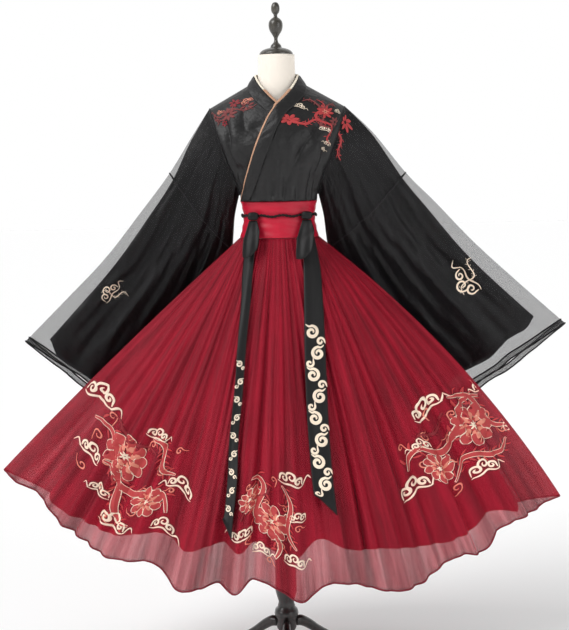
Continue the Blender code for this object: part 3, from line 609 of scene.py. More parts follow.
# %% Make the overlay
FINE_COLS = np.linspace(0, COLS, 481)
FINE_ROWS = np.concatenate([np.linspace(0, 0.1, 9)[:-1],
                            np.linspace(0.1, 1.0, 47)])
overlay, overlay_grid = {}, {}
for where in ("front", "back"):
    back = where == "back"
    grid = skirt(FINE_COLS[None, :], FINE_ROWS[:, None], back)
    grid[:, 0, 1] += 0.0008 * (1 if back else -1)
    grid[:, -1, 1] += 0.0008 * (1 if back else -1)
    overlay_grid[where] = grid
    overlay[where] = sheet(
        f"overlay_{where}", grid, RED_CHIFFON, out=(0, 0, 1.0),
        replaces=[f"overlay_{where}_{part}"
                                    for part in ("left", "mid", "right")])
front_normals = grid_normals(overlay_grid["front"])
if front_normals[20, 240, 1] > 0:
    front_normals = -front_normals
print("overlay hem, metres:", round(float(np.linalg.norm(np.diff(
    overlay_grid["front"][-1], axis=0), axis=1).sum()), 2))

# %% [markdown]
# ## The rolled hem
# Light cloth can't carry a wide hem, so its edge is rolled round a darker
# thread. The cord runs along the last row of both sheets.

# %% Roll the hem
hem_path = np.concatenate([overlay_grid["front"][-1, 1:-1:2],
                           overlay_grid["back"][-1, ::-1][1:-1:2]])
hem_cord = cord("skirt_rolled_hem", hem_path, 0.0024, DARK_HEM,
                closed=True)

# %% [markdown]
# ## The lining
# Under the chiffon hangs an opaque lining that ends a little higher, so the
# light passes through the last hand's breadth of the skirt. Its sides round
# off inside the overlay's points, where the chiffon is all alone.

# %% Ring by ring inside the overlay
LINING_EDGE = [
    # place across, share of the overlay's length that the lining covers
    (-0.84, 0.990), (-0.70, 0.955), (-0.56, 0.925), (-0.44, 0.910),
    (-0.30, 0.885), (-0.15, 0.892), (0.00, 0.898), (0.10, 0.868),
    (0.24, 0.905), (0.36, 0.885), (0.46, 0.900), (0.58, 0.955),
    (0.72, 0.935), (0.84, 0.985),
]


def lining_side(cols, s, back):
    u = -1.0 + 2.0 * cols / COLS
    reach = 0.93 if back else smooth(LINING_EDGE, 1, u)
    inside = -0.0018 - 0.0066 * min(1.0, s / 0.10)
    return skirt(cols, s * reach, back, inside, waves=0.85)


def lining_ring(s):
    cols = np.linspace(5, 55, 301)
    front = lining_side(cols, s, False)
    back = lining_side(cols, s, True)[::-1]
    spread = min(1.0, (s + 0.015) / 0.15)

    def turn(a, b, sign):
        span = np.linalg.norm(a - b)
        bend = (a + b) / 2
        bend[0] += sign * 0.24 * span * spread
        t = np.linspace(0, 1, 12)[1:-1, None]
        return a * (1 - t) ** 2 + 2 * bend * t * (1 - t) + b * t ** 2

    return np.concatenate([front, turn(front[-1], back[0], 1.0), back,
                           turn(back[-1], front[0], -1.0)])


lining_grid = np.array([lining_ring(s) for s in np.concatenate(
    [np.linspace(0, 0.1, 5)[:-1], np.linspace(0.1, 1.0, 32)])])
lining = sheet("skirt_lining", lining_grid, RED_LINING, wrap=True,
               out=(0, 0, 1.0),
               replaces=["lining_front_left", "lining_front_right",
                         "lining_back_left", "lining_back_right"])

# %% [markdown]
# ## The bodice
# The bodice hangs from the shoulders and is pulled in by the band. The
# front that laps over lies a little further out, with the collar on top of
# it. Soft drag lines run down from the shoulders, and small tucks gather
# above the band.

# %% Sections of the bodice
BODICE = [
    # share down, half width, front depth, back depth, half the arm opening
    (0.00, 0.195, 0.000, 0.000, 0.000),
    (0.03, 0.192, 0.027, 0.032, 0.018),
    (0.08, 0.188, 0.050, 0.058, 0.034),
    (0.16, 0.181, 0.070, 0.076, 0.048),
    (0.28, 0.171, 0.092, 0.090, 0.057),
    (0.42, 0.159, 0.112, 0.097, 0.060),
    (0.56, 0.146, 0.117, 0.097, 0.054),
    (0.70, 0.131, 0.110, 0.094, 0.042),
    (0.82, 0.119, 0.100, 0.090, 0.026),
    (0.92, 0.1125, 0.093, 0.091, 0.0045),
    (1.00, 0.1105, 0.0900, 0.0890, 0.0002),
]
NECKLINE = [
    # share down, angle of the edge in degrees, wearer's left positive
    (0.00, 23.0), (0.04, 20.0), (0.10, 13.5), (0.17, 6.5), (0.22, 2.0),
    (0.30, -6.0), (0.40, -13.5), (0.55, -24.0), (0.70, -36.0),
    (0.85, -50.0), (1.00, -66.0),
]
OVER_OUT, UNDER_REACH, COLLAR_WIDTH = 0.0072, 34.0, 0.038


def shoulder_z(x):
    x = np.abs(x)
    slope = (NECK_SIDE_Z - SHOULDER_Z) / (SHOULDER_HALF - NECK_SIDE_X)
    return np.where(x >= NECK_SIDE_X, NECK_SIDE_Z - slope * (x - NECK_SIDE_X),
                    NECK_SIDE_Z + 0.35 * (NECK_SIDE_X - x))


def bodice(angle, v, out=0.0, back=False, crease=1.0):
    angle, v, out = np.broadcast_arrays(np.asarray(angle, float),
                                        np.asarray(v, float),
                                        np.asarray(out, float))
    a = np.radians(angle)
    s, c = np.sin(a), np.maximum(np.cos(a), 0.0)
    half = smooth(BODICE, 1, v)
    depth = smooth(BODICE, 3 if back else 2, v)
    edge = smooth(BODICE, 4, v)
    x = half * s
    y = edge + np.maximum(depth - edge, 0.0) * c
    z = shoulder_z(SHOULDER_HALF * s) * (1 - v) + BODICE_LOW_Z * v
    fold = 0.0022 * np.sin(7.0 * a + 2.2 * v) * np.sin(
        math.pi * np.minimum(v, 1))
    # tucks above the band, drag lines from the shoulder, small crumples
    tuck = 0.0060 * np.clip((v - 0.52) / 0.48, 0, 1) ** 1.2 * (2 * np.abs(
        np.cos(angle * 0.17 + 1.9 * drift(angle * 0.05, 5))) ** 0.7 - 1.4)
    tuck *= 1 - np.clip((v - 0.96) / 0.04, 0, 1) * 0.7
    drag = 0.0062 * (2 * np.abs(np.cos(
        5.5 * (a * 0.8 + 0.9 * v * np.sign(angle) * 0.5)
        + 2.5 * drift(v * 3 + angle * 0.03, 11))) ** 0.8 - 1.3)
    drag += 0.0022 * np.sin(23 * (a * 0.5 - v * 0.8)
                            + 4.0 * drift(v * 5 - angle * 0.04, 17))
    drag *= np.sin(math.pi * np.clip(v, 0, 1)) ** 0.8
    lift = np.exp(-(v / 0.07) ** 2)
    d = out + (fold * c + crease * (tuck + drag) * np.minimum(1, 2.2 * c))
    nx, ny = s * (1 - lift), c + 0.35 * lift
    length = np.sqrt(nx ** 2 + ny ** 2 + lift ** 2)
    x = x + d * nx / length
    y = y + d * ny / length
    z = z + d * lift / length
    return np.stack([x, y if back else -y, z], -1)


# %% Cut the three pieces of the bodice
V_FINE = np.concatenate([[0, 0.012, 0.025, 0.04], np.linspace(0.06, 1.0, 60)])
bodice_grid, bodice_sheet = {}, {}
for name, side, out in (("bodice_front_under", -1, 0.0),
                        ("bodice_front_over", 1, OVER_OUT)):
    inner = smooth(NECKLINE, 1, V_FINE)[:, None]
    if side < 0:
        inner = np.maximum(inner, -UNDER_REACH)
    t = np.linspace(0, 1, 76)[None, :]
    angle = inner + (90.0 - inner) * t
    cross = np.clip((V_FINE[:, None] - 0.05) / 0.08, 0, 1)
    free = np.clip(8.0 - inner, 8.0, UNDER_REACH + 8.0)
    fade = np.maximum(0.0, angle - free) / (90.0 - free)
    calm = np.clip((angle - inner - 14.0) / 22.0, 0.12, 1.0)
    grid = bodice(side * angle, V_FINE[:, None] + 0 * t,
                  out * cross * (1 - fade) + 0.0004, crease=calm)
    grid[0, :, 1] -= 0.00018
    bodice_grid[name] = grid
    bodice_sheet[name] = sheet(name, grid, PAINTED_SHADE_CLOTH, out=(0, 0.02, 1.5),
                               replaces=[name])
angle = np.linspace(-90, 90, 121)[None, :]
dip = 0.056 * np.maximum(0.0, 1 - (np.abs(angle) / 24.0) ** 2)
grid = bodice(angle + 0 * V_FINE[:, None], dip + (1 - dip) * V_FINE[:, None],
              0.0004, back=True)
grid[0, :, 1] += 0.00018
# the neck edge stands up under the collar
near = np.maximum(0.0, 1 - (np.abs(angle) / 30.0) ** 4)
grid[..., 1] += 0.0195 * near * np.exp(-((V_FINE[:, None] / 0.09) ** 2))
bodice_grid["bodice_back"] = grid
bodice_sheet["bodice_back"] = sheet("bodice_back", grid, PAINTED_SHADE_CLOTH,
                                    out=(0, 0, 1.5),
                                    replaces=["bodice_back"])

# %% [markdown]
# ## The crossed collar
# The collar is one long band folded lengthways. It stands against the neck
# at the back, falls onto the shoulders and crosses on the chest, the
# wearer's left side on top. A narrow cream and peach piping shows along its
# inner edge.


# %% Path of the collar
def collar_point(side, out, t, w):
    if t < 0.30:
        a = math.radians(180.0 - 90.0 * t / 0.30)
        up = 0.5 - 0.5 * math.cos(math.pi * t / 0.30)
        inner = np.array((0.066 * math.sin(a), -0.066 * math.cos(a),
                          1.752 - 0.006 * up))
        low = np.array((0.0800 * math.sin(a), -0.0770 * math.cos(a),
                        1.7205 + 0.006 * up))
        return (inner * (1 - w) + low * w) * (side, 1, 1)
    v = (t - 0.30) / 0.70
    v = 0.015 + 0.985 * v ** 1.15
    turn = float(smooth(NECKLINE, 1, v))
    wide = math.degrees(COLLAR_WIDTH * 1.12 / float(smooth(BODICE, 1, v)))
    on_front = bodice(side * min(turn + wide * w, 80.0),
                      max(v - 0.012 * w, 0.0), out, crease=0.12)
    blend = max(0.0, 1 - (t - 0.30) / 0.16)
    blend = blend * blend * (3 - 2 * blend)
    along = t - 0.30
    neck_in = np.array(((0.066 - 0.10 * along) * side, -0.001 - 0.42 * along,
                        1.746 - 0.12 * along))
    neck_low = np.array(((0.080 + 0.02 * along) * side, -0.42 * along,
                         1.7265 - 0.10 * along))
    neck = neck_in * (1 - w) + neck_low * w
    return neck * blend + on_front * (1 - blend)


collar_sheet = {}
for name, pipe, side, out, end in (
        ("collar_under", "piping_under", -1, 0.0026, 0.70),
        ("collar_over", "piping_over", 1, OVER_OUT + 0.0040, 1.0)):
    ts = np.linspace(0, end, 110)
    ws = np.linspace(0, 1, 13)
    grid = np.array([[collar_point(side, out, t, w) for w in ws] for t in ts])
    normal = grid_normals(grid)
    if (normal[60, 6] * (grid[60, 6] * (1, 1, 0))).sum() < 0:
        normal = -normal
    # a folded edge swells, and the stitched edge lies flat
    swell = 0.0011 * np.sin(math.pi * ws) ** 0.5
    swell = swell[None, :] + 0.0005 * np.sin(
        ts[:, None] * 90 + 5 * ws[None, :]) * np.sin(math.pi * ws)[None, :]
    grid = grid + normal * swell[..., None]
    grid[0, :, 0] = side * 0.0003
    collar_sheet[name] = sheet(name, grid, PAINTED_SHADE_CLOTH, 0.0014,
                               out=(0, 0, 1.6),
                               replaces=[name])
    rows = [i for i, t in enumerate(ts) if t >= 0.10]
    across = grid[:, 1] - grid[:, 0]
    across /= np.linalg.norm(across, axis=1)[:, None]
    for part, dyed, here in (
            (f"{pipe}_neck", CREAM_PIPING, [i for i in rows if ts[i] < 0.41]),
            (pipe, PIPING, [i for i in rows if ts[i] >= 0.40])):
        strip = np.array([[grid[i, 0] - across[i] * (
            (0.0056 if ts[i] < 0.41 else 0.0082 - 0.0055 * (ts[i] - 0.4) / 0.6)
            * w + 0.0008) for w in (1.0, 0.66, 0.33, 0.0)] for i in here])
        collar_sheet[part] = sheet(part, strip, dyed, 0.0010, out=(0, 0, 1.6),
                                   replaces=[pipe])

# %% [markdown]
# ## The waistband and its cord
# The band is stiffened satin wrapped round the waist. It buckles into
# shallow level creases where the body bends, and a twisted cord lies round
# its narrowest line.

# %% Wrap the band
BAND = [
    # height, half width, front depth, back depth
    (BAND_LOW_Z, 0.1145, 0.0960, 0.0960), (1.3100, 0.1075, 0.0900, 0.0910),
    (1.3450, 0.1035, 0.0870, 0.0880), (1.3680, 0.1068, 0.0880, 0.0885),
    (BAND_TOP_Z, 0.1112, 0.0906, 0.0896),
]


def band_point(angle, z, out=0.0):
    a = np.radians(angle)
    s, c = np.sin(a), np.cos(a)
    deep = np.where(c > 0, smooth(BAND, 2, z), smooth(BAND, 3, z))
    return np.stack([(smooth(BAND, 1, z) + out) * s, -(deep + out) * c,
                     z + 0 * a], -1)


around = np.linspace(0, 360, 145)[:-1][None, :]
heights = np.linspace(BAND_LOW_Z, BAND_TOP_Z, 29)[:, None]
level = (heights - BAND_LOW_Z) / (BAND_TOP_Z - BAND_LOW_Z)
ripple = 0.0011 * np.sin(26 * level + 1.2 * np.sin(np.radians(around) * 2)
                         + 2.0 * drift(around * 0.03, 4))
ripple = ripple * np.sin(math.pi * level) ** 0.6 + 0.0006
band_grid = band_point(around + 0 * heights, heights + 0 * around,
                       ripple)
waistband = sheet("waistband", band_grid, RED_SATIN, 0.0016, wrap=True,
                  out=(0, 0, 1.33), replaces=["waistband"])
turns = np.linspace(0, 360, 241)[:-1]
wave = 0.0020 * np.sin(np.radians(turns) * 11 + 0.6)
for strand in range(2):
    twist = np.radians(turns * 32 + 180 * strand)
    cord(
        f"waist_cord_{strand + 1}",
        band_point(np.linspace(0, 360, 961)[:-1],
                   WAIST_Z + np.interp(np.linspace(0, 360, 961)[:-1], turns,
                                       wave, period=360)
                   + 0.0021 * np.cos(np.radians(
                       np.linspace(0, 360, 961)[:-1] * 32 + 180 * strand)),
                   0.0049 + 0.0011 * np.sin(np.radians(
                       np.linspace(0, 360, 961)[:-1] * 32 + 180 * strand))),
        0.0021, BLACK_RIBBON, closed=True)
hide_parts("waist_cord")

# %% [markdown]
# ## The sleeves
# A hanfu sleeve is a wide flat tube. Its top fold runs from the shoulder to
# the cuff's far corner and its seam hangs behind the skirt. The outer layer
# is sheer, the inner one opaque and shorter, so a pale border of gauze shows
# round the dark shape.

# %% Sections of the sleeves
SLEEVE = {
    -1: [
        # share along, upper edge x y z, lower edge x y z, half depth
        (0.00, -0.1965, 0.000, 1.6565, -0.1160, 0.000, 1.4000, 0.0600),
        (0.12, -0.252, 0.000, 1.572, -0.1300, 0.030, 1.3450, 0.0560),
        (0.27, -0.317, 0.010, 1.473, -0.1420, 0.080, 1.2400, 0.0460),
        (0.45, -0.406, 0.020, 1.360, -0.1750, 0.140, 1.1050, 0.0440),
        (0.65, -0.521, 0.035, 1.221, -0.2250, 0.205, 0.9400, 0.0460),
        (0.83, -0.644, 0.050, 1.099, -0.2850, 0.262, 0.7800, 0.0470),
        (1.00, -0.767, 0.060, 0.979, -0.3500, 0.312, 0.6200, 0.0420),
    ],
    1: [
        (0.00, 0.1965, 0.000, 1.6565, 0.1160, 0.000, 1.4000, 0.0600),
        (0.12, 0.270, 0.000, 1.587, 0.1300, 0.030, 1.3450, 0.0560),
        (0.27, 0.371, 0.010, 1.463, 0.1450, 0.080, 1.2400, 0.0460),
        (0.45, 0.455, 0.018, 1.378, 0.1900, 0.140, 1.1050, 0.0440),
        (0.65, 0.580, 0.030, 1.248, 0.2550, 0.205, 0.9500, 0.0460),
        (0.83, 0.712, 0.032, 1.126, 0.3350, 0.260, 0.8000, 0.0470),
        (1.00, 0.845, 0.032, 1.007, 0.4200, 0.305, 0.6500, 0.0420),
    ],
}


def sleeve(side, s, t, back=False):
    s, t = np.broadcast_arrays(np.asarray(s, float), np.asarray(t, float))
    rows = SLEEVE[side]
    upper = np.stack([smooth(rows, c, s) for c in (1, 2, 3)], -1)
    lower = np.stack([smooth(rows, c, s) for c in (4, 5, 6)], -1)
    deep = smooth(rows, 7, s)
    way = 1.0 if back else -1.0
    p = upper + (lower - upper) * t[..., None]
    blend = np.minimum(s / 0.13, 1.0)
    blend = blend * blend * (3 - 2 * blend)
    arch = np.maximum(np.sin(math.pi * t), 0.0)
    fall = 0.012 * arch * blend
    k = 0.9 if back else 0.0
    fold = np.sin(2 * math.pi * (2.6 * t + 0.35 * s) + k + 0.4 * side)
    fold += 0.6 * np.sin(2 * math.pi * (4.7 * t - 0.5 * s) + 1.9 * k)
    # finer creases fan out between the long folds
    fine = 0.65 * np.sin(2 * math.pi * (9.0 * t + 0.9 * s
                                        + 0.8 * drift(s * 5 + t * 3, 21 + k)))
    fine += 0.40 * np.sin(2 * math.pi * (15.0 * t - 1.7 * s
                                         + drift(s * 7 + t * 5, 31 + k)))
    fine *= 1 - 0.8 * np.clip((s - 0.82) / 0.15, 0, 1)
    fold = (fold + fine) * 0.0100 * np.minimum(s * 2.2, 1.0) * arch ** 0.6
    p[..., 1] += way * np.maximum(deep * arch ** 0.70 + fold, 0.0)
    p[..., 2] -= fall
    hole = bodice(side * 90.0, 0.93 * t, back=back, crease=0.0)
    hole[..., 0] += side * (0.0021 + 0.0014 * np.clip((t - 0.15) / 0.3, 0, 1))
    return hole * (1 - blend[..., None]) + p * blend[..., None]


# %% Sew the sheer outer sleeves
S_FINE = np.concatenate([np.linspace(0, 0.14, 15)[:-1],
                         np.linspace(0.14, 1.0, 70)])
ARC = (1 - np.cos(np.linspace(0, math.pi, 64))) / 2


def sleeve_ring(side, s, spread=0.00018):
    front = sleeve(side, s, ARC, False)
    back = sleeve(side, s, ARC[::-1], True)
    front[:, 1] -= spread
    back[:, 1] += spread
    return np.concatenate([front, back])


sleeve_grid, sleeve_sheet = {}, {}
for side, hand in ((-1, "left"), (1, "right")):
    grid = np.array([sleeve_ring(side, s) for s in S_FINE])
    sleeve_grid[hand] = grid
    middle = grid.mean(axis=(0, 1))
    piece = sheet(f"sleeve_{hand}", grid, BLACK_GAUZE, 0.0007, wrap=True,
                  replaces=[f"sleeve_{hand}_front", f"sleeve_{hand}_back"])
    sleeve_sheet[hand] = piece

# %% [markdown]
# ## The opaque inner sleeves
# The inner sleeve follows the outer one at a small distance, and its cuff is
# cut on a slight slant with a soft corner. It is the dark shape that one
# sees from afar.

# %% Sew the inner sleeves
INNER = {
    # share along: how far the upper and lower edges are drawn in
    -1: [(0.00, 0.002, 0.002), (0.06, 0.005, 0.003), (0.12, 0.016, 0.004),
         (0.27, 0.060, 0.006),
         (0.45, 0.074, 0.010), (0.65, 0.078, 0.015), (0.98, 0.085, 0.025)],
    1: [(0.00, 0.002, 0.002), (0.06, 0.005, 0.003), (0.12, 0.016, 0.004),
        (0.27, 0.050, 0.006),
        (0.45, 0.070, 0.010), (0.65, 0.085, 0.015), (0.95, 0.080, 0.025)],
}
CUFF_AT, CUFF_SLANT = {-1: 0.972, 1: 0.940}, {-1: 0.010, 1: -0.010}
inner_sheet = {}
for side, hand in ((-1, "left"), (1, "right")):
    rings = []
    for share in np.concatenate([np.linspace(0.0, 0.2, 14)[:-1],
                                 np.linspace(0.2, 1.0, 46)]):
        arc = ARC
        # the cuff slants out to its lower corner, and its corners are round
        corner = 0.016 * np.exp(-(arc / 0.06) ** 2) + 0.02 * np.exp(
            -((1 - arc) / 0.08) ** 2)
        ripple = 0.006 * np.sin(arc * 17 + side)
        end = CUFF_AT[side] + CUFF_SLANT[side] * arc - corner + ripple
        at = share * np.where(share > 0.5, CUFF_AT[side] + (end - CUFF_AT[side])
                              * (share - 0.5) / 0.5, CUFF_AT[side])
        drop = smooth(INNER[side], 1, at)
        rise = smooth(INNER[side], 2, at)
        tt = drop + (1 - drop - rise) * arc
        f, b = sleeve(side, at, tt, False), sleeve(side, at, tt, True)
        middle = (f + b) / 2
        near = min(1.0, share / 0.10)
        close = (0.97 - 0.17 * near) * np.maximum(
            np.sin(math.pi * arc), 0) ** (0.22 * near + 0.01)
        f = middle + (f - middle) * close[:, None]
        b = middle + (b - middle) * close[:, None]
        f[:, 1] -= 0.0002
        b[:, 1] += 0.0002
        rings.append(np.concatenate([f, b[::-1]]))
    inner_sheet[hand] = sheet(
        f"sleeve_lining_{hand}", rings, BLACK_CLOTH, 0.0008, wrap=True,
        replaces=[f"sleeve_lining_{hand}_front",
                                       f"sleeve_lining_{hand}_back"])

# %% [markdown]
# ## Cuff bands and the joining seam
# A narrow black band finishes the gauze at the cuff. Cloth for such a dress
# was woven narrow, so the sleeve is joined once between shoulder and cuff,
# and the seam shows as a thin line.

# %% Bind the cuffs
cuff_bands, seams, stitch_lines = [], [], {"left": [], "right": []}
for side, hand in ((-1, "left"), (1, "right")):
    grid = sleeve_grid[hand]
    centre = grid.mean(axis=1, keepdims=True)
    rows = []
    for s in np.linspace(0.984, 1.0, 4):
        ring = sleeve_ring(side, s)
        away = ring - ring.mean(axis=0)
        away[:, 0] *= 0.2
        away[:, 2] *= 0.2
        away /= np.maximum(np.linalg.norm(away, axis=1), 1e-9)[:, None]
        rows.append(ring + away * 0.0011)
    cuff_bands.append(sheet(f"cuff_band_{hand}", rows, FOLDED_GAUZE, 0.0008,
                            wrap=True))
    for n, edge in enumerate((rows[0], rows[-1])):
        stitch_lines[hand].append(cord(f"cuff_edge_{hand}_{n + 1}", edge,
                                       0.0025, BLACK_BINDING,
                                       closed=True))
    ring = sleeve_ring(side, 0.272)
    away = ring - ring.mean(axis=0)
    away /= np.linalg.norm(away, axis=1)[:, None]
    seams.append(cord(f"sleeve_seam_{hand}", ring + away * 0.0006, 0.0017,
                      BLACK_BINDING, closed=True))
    # the armhole seam, bound with a narrow strip
    ring = sleeve_ring(side, 0.0)
    ring[:, 0] -= side * 0.0012
    seams.append(cord(f"armhole_seam_{hand}", ring, 0.0016, BLACK_BINDING,
                      closed=True))

# %% [markdown]
# ## Knots, loops and tails
# On each side of the waist the ribbon is tied once: a padded knot, one loop
# that hangs down, and one long tail that falls over the folds of the skirt.
# The knot is a squashed ball with the ribbon wrapped round it.

# %% Where the ties lie
TIE = {"left": (-0.075, 0.024, 0.100), "right": (0.079, 0.026, 0.106)}
TAIL = {
    "left": [
        # height, distance across, half width
        (1.340, -0.0750, 0.0105), (1.280, -0.0800, 0.0130),
        (1.217, -0.0900, 0.0150), (1.096, -0.1000, 0.0135),
        (1.007, -0.1100, 0.0125), (0.857, -0.1230, 0.0120),
        (0.747, -0.1360, 0.0125), (0.621, -0.1440, 0.0135),
        (0.488, -0.1600, 0.0120),
    ],
    "right": [
        (1.340, 0.0790, 0.0105), (1.280, 0.0840, 0.0170),
        (1.214, 0.0900, 0.0230), (1.092, 0.0930, 0.0275),
        (1.003, 0.0935, 0.0295), (0.873, 0.0950, 0.0300),
        (0.702, 0.1010, 0.0290), (0.573, 0.1120, 0.0290),
        (0.548, 0.1160, 0.0290),
    ],
}


STEPS = np.linspace(0, 1, 201)
PLAIN = skirt(np.linspace(0, COLS, 401)[None, :], STEPS[:, None], waves=0.0)


def front_base(x, s):
    n = min(int(s * 200), 199)
    part = s * 200 - n
    low, high = (np.array([np.interp(x, PLAIN[k, :, 0], PLAIN[k, :, c])
                           for c in range(3)]) for k in (n, n + 1))
    return low * (1 - part) + high * part


def tie_base(x, z):
    """Depth of the surface that a tie lies on: band above, skirt below."""
    if z > SKIRT_TOP_Z - 0.004:
        half = float(smooth(BAND, 1, max(z, BAND_LOW_Z))) + 0.0025
        deep = float(smooth(BAND, 2, max(z, BAND_LOW_Z))) + 0.0025
        return -deep * math.sqrt(max(0.0, 1 - (x / half) ** 2))
    lo, hi = 0.0, 1.0
    for _ in range(14):
        mid = (lo + hi) / 2
        if front_base(x, mid)[2] > z:
            lo = mid
        else:
            hi = mid
    return front_base(x, lo)[1] - 0.0040 - 0.0165 * lo ** 0.75


# %% Tie both ribbons
ties, tail_grid = {}, {}
for hand, (x0, half, length) in TIE.items():
    side = -1 if hand == "left" else 1
    y0 = tie_base(x0 - side * 0.017, WAIST_Z) + 0.0027
    knot_y = y0 - 0.0100
    deselect()
    bpy.ops.mesh.primitive_uv_sphere_add(segments=40, ring_count=24,
                                         radius=1.0, location=(0, 0, 0))
    knot = bpy.context.object
    knot.name = f"fine_knot_{hand}"
    for vertex in knot.data.vertices:
        p = np.array(vertex.co)
        groove = 1 + 0.07 * math.cos(9 * p[2] + 2.2 * p[0])
        power = [math.copysign(abs(c) ** 0.72, c) for c in p]
        vertex.co = (x0 + 0.0158 * power[0] * groove,
                     knot_y + 0.0092 * power[1] * groove,
                     WAIST_Z + 0.0120 * power[2])
    knot.data.uv_layers[0].name = "cloth"
    knot.data.materials.append(BLACK_RIBBON)
    for polygon in knot.data.polygons:
        polygon.use_smooth = True
    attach(knot, "root")
    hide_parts(f"knot_{hand}")
    first, last = WAIST_Z - 0.0128, TAIL[hand][-1][0]
    rows = []
    for t in np.linspace(0, 1, 90):
        z = first + (last - first) * t
        x = float(smooth(TAIL[hand][::-1], 1, z))
        wide = float(smooth(TAIL[hand][::-1], 2, z))
        near = max(0.0, 1 - (first - z) / 0.045)
        low = 0.006 * max(0.0, (0.9 - z) / 0.35)
        middle = tie_base(x, z)
        row = []
        for w in np.linspace(-1, 1, 11):
            deep = min(tie_base(x + w * wide, z), middle + 0.010)
            lie = deep - 0.0009 - 0.0021 * min(t / 0.12, 1.0) - low
            lie -= 0.002 * (1 - abs(w)) * min(t / 0.12, 1.0)
            lie -= 0.0016 * math.sin(9 * t + 2.5 * w) * min(t / 0.1, 1.0)
            row.append((x + w * wide, lie * (1 - near)
                        + (y0 - 0.0042) * near, z))
        rows.append(row)
    rows = np.array(rows)
    slant = np.clip((np.linspace(0, 1, 90) - 0.93) / 0.07, 0, 1) ** 2
    rows[:, :, 2] += slant[:, None] * np.linspace(0.040, -0.020, 11)[None, :]
    tail_grid[hand] = rows
    tail = sheet(f"tail_{hand}", rows, BLACK_RIBBON, 0.0010,
                 out=(0, 0.3, 0.9),
                 replaces=[f"tail_{hand}"])
    rows = []
    for a in np.linspace(0, math.pi, 61):
        drop = math.sin(a) ** 0.8 * length
        under = min(drop / 0.05, 1.0)
        forth = (0.0045 + 0.0035 * under) * math.cos(a)
        z = WAIST_Z - 0.0128 - drop
        swell = 0.48 + 0.48 * min(drop / 0.05, 1.0) - 0.10 * math.sin(a) ** 6
        xs = [x0 + half * w * swell - 0.10 * drop
              for w in np.linspace(-1, 1, 11)]
        deep = min(tie_base(x, z) for x in (xs[0], xs[5], xs[10])) - 0.0185
        deep = (y0 - 0.0128) * (1 - under) + deep * under
        rows.append([(x, deep - forth - 0.0022 * math.cos(
            math.pi * w * 1.5) * under,
            z + under * (0.012 * w + 0.010 * w * w))
            for x, w in zip(xs, np.linspace(-1, 1, 11))])
    loop = sheet(f"loop_{hand}", rows, BLACK_RIBBON, 0.0010,
                 out=(x0, y0 - 0.020, 1.28),
                 replaces=[f"loop_{hand}"])
    ties[hand] = (knot, tail, loop)

# %% [markdown]
# ## Motifs for the embroidery
# The dress carries large embroidered pictures. These places hold a motif of
# our own here: curling clouds, rolling waves and peonies, which are common
# ornaments. Every motif is built from a few strokes: a curl, a wave and a
# petal.


# %% Strokes
def curl(x, y, radius, turns=1.4, start=0.0, hand=1, tail=0.0):
    """A scroll that winds in; tail adds a run-out before it."""
    t = np.linspace(0, 1, 26)
    a = start + hand * 2 * math.pi * turns * t
    r = radius * (1 - 0.80 * t)
    points = np.stack([x + r * np.cos(a), y + r * np.sin(a)], -1)
    if tail:
        lead = points[0] - (points[1] - points[0]) / np.linalg.norm(
            points[1] - points[0]) * tail
        bend = np.linspace(0, 1, 7)[:-1, None]
        sag = np.array((0, 0.22 * tail)) * np.sin(math.pi * bend)
        points = np.concatenate([lead * (1 - bend) + points[0] * bend - sag,
                                 points])
    return points


def swell(count, most, least=0.25):
    t = np.linspace(0, 1, count)
    return most * (least + (1 - least) * np.sin(math.pi * t) ** 0.8)


def cloud(x, y, size, hand=1):
    """Three curls over a wavy foot, with a trailing wisp."""
    out = []
    for dx, dy, r, start, way in ((-0.55, 0.05, 0.34, 3.3, -1),
                                  (0.02, 0.32, 0.42, 3.5, -1),
                                  (0.55, 0.02, 0.30, -0.2, 1)):
        points = curl(x + hand * dx * size, y + dy * size, r * size,
                      1.25, start if hand > 0 else math.pi - start,
                      way * hand, 0.25 * size)
        out.append((points, swell(len(points), 0.085 * size)))
    t = np.linspace(0, 1, 22)
    foot = np.stack([x + hand * size * (t * 2.0 - 1.0),
                     y - size * (0.34 + 0.10 * np.sin(t * 9.0))], -1)
    out.append((foot, swell(22, 0.075 * size)))
    wisp = np.stack([x + hand * size * (0.75 + 0.85 * t),
                     y - size * (0.20 + 0.22 * np.sin(t * 6.0 + 1.0))], -1)
    out.append((wisp, swell(22, 0.055 * size)))
    return out


def petals(x, y, inner, outer, count, width, twist=0.0, cup=0.18):
    out = []
    for n in range(count):
        a = twist + 2 * math.pi * n / count
        t = np.linspace(0, 1, 10)
        r = inner + (outer - inner) * t
        b = a + cup * t
        points = np.stack([x + r * np.cos(b), y + r * np.sin(b)], -1)
        half = width * np.sin(math.pi * np.clip(t * 0.86 + 0.07, 0, 1)) ** 0.7
        out.append((points, half))
    return out


def edged(strokes, half):
    """A thin line of thread round each stroke."""
    out = []
    for points, wide in strokes:
        wide = np.broadcast_to(wide, (len(points),))
        tangent = np.gradient(points, axis=0)
        tangent /= np.maximum(np.linalg.norm(tangent, axis=1), 1e-9)[:, None]
        side = np.stack([-tangent[:, 1], tangent[:, 0]], -1) * wide[:, None]
        loop = np.concatenate([points + side, (points - side)[::-1],
                               points[:1] + side[:1]])
        out.append((loop, np.full(len(loop), half)))
    return out


def peony(x, y, size, twist=0.0):
    outer = petals(x, y, 0.42 * size, 1.0 * size, 9, 0.26 * size, twist)
    return {
        "coral": outer + petals(x, y, 0.10 * size, 0.36 * size, 5, 0.11 * size, twist + 0.9),
        "rose": petals(x, y, 0.24 * size, 0.68 * size, 8, 0.15 * size,
                       twist + 0.35),
        "cream": edged(outer, 0.0009)
        + petals(x, y, 0.02 * size, 0.22 * size, 7, 0.045 * size, twist),
    }


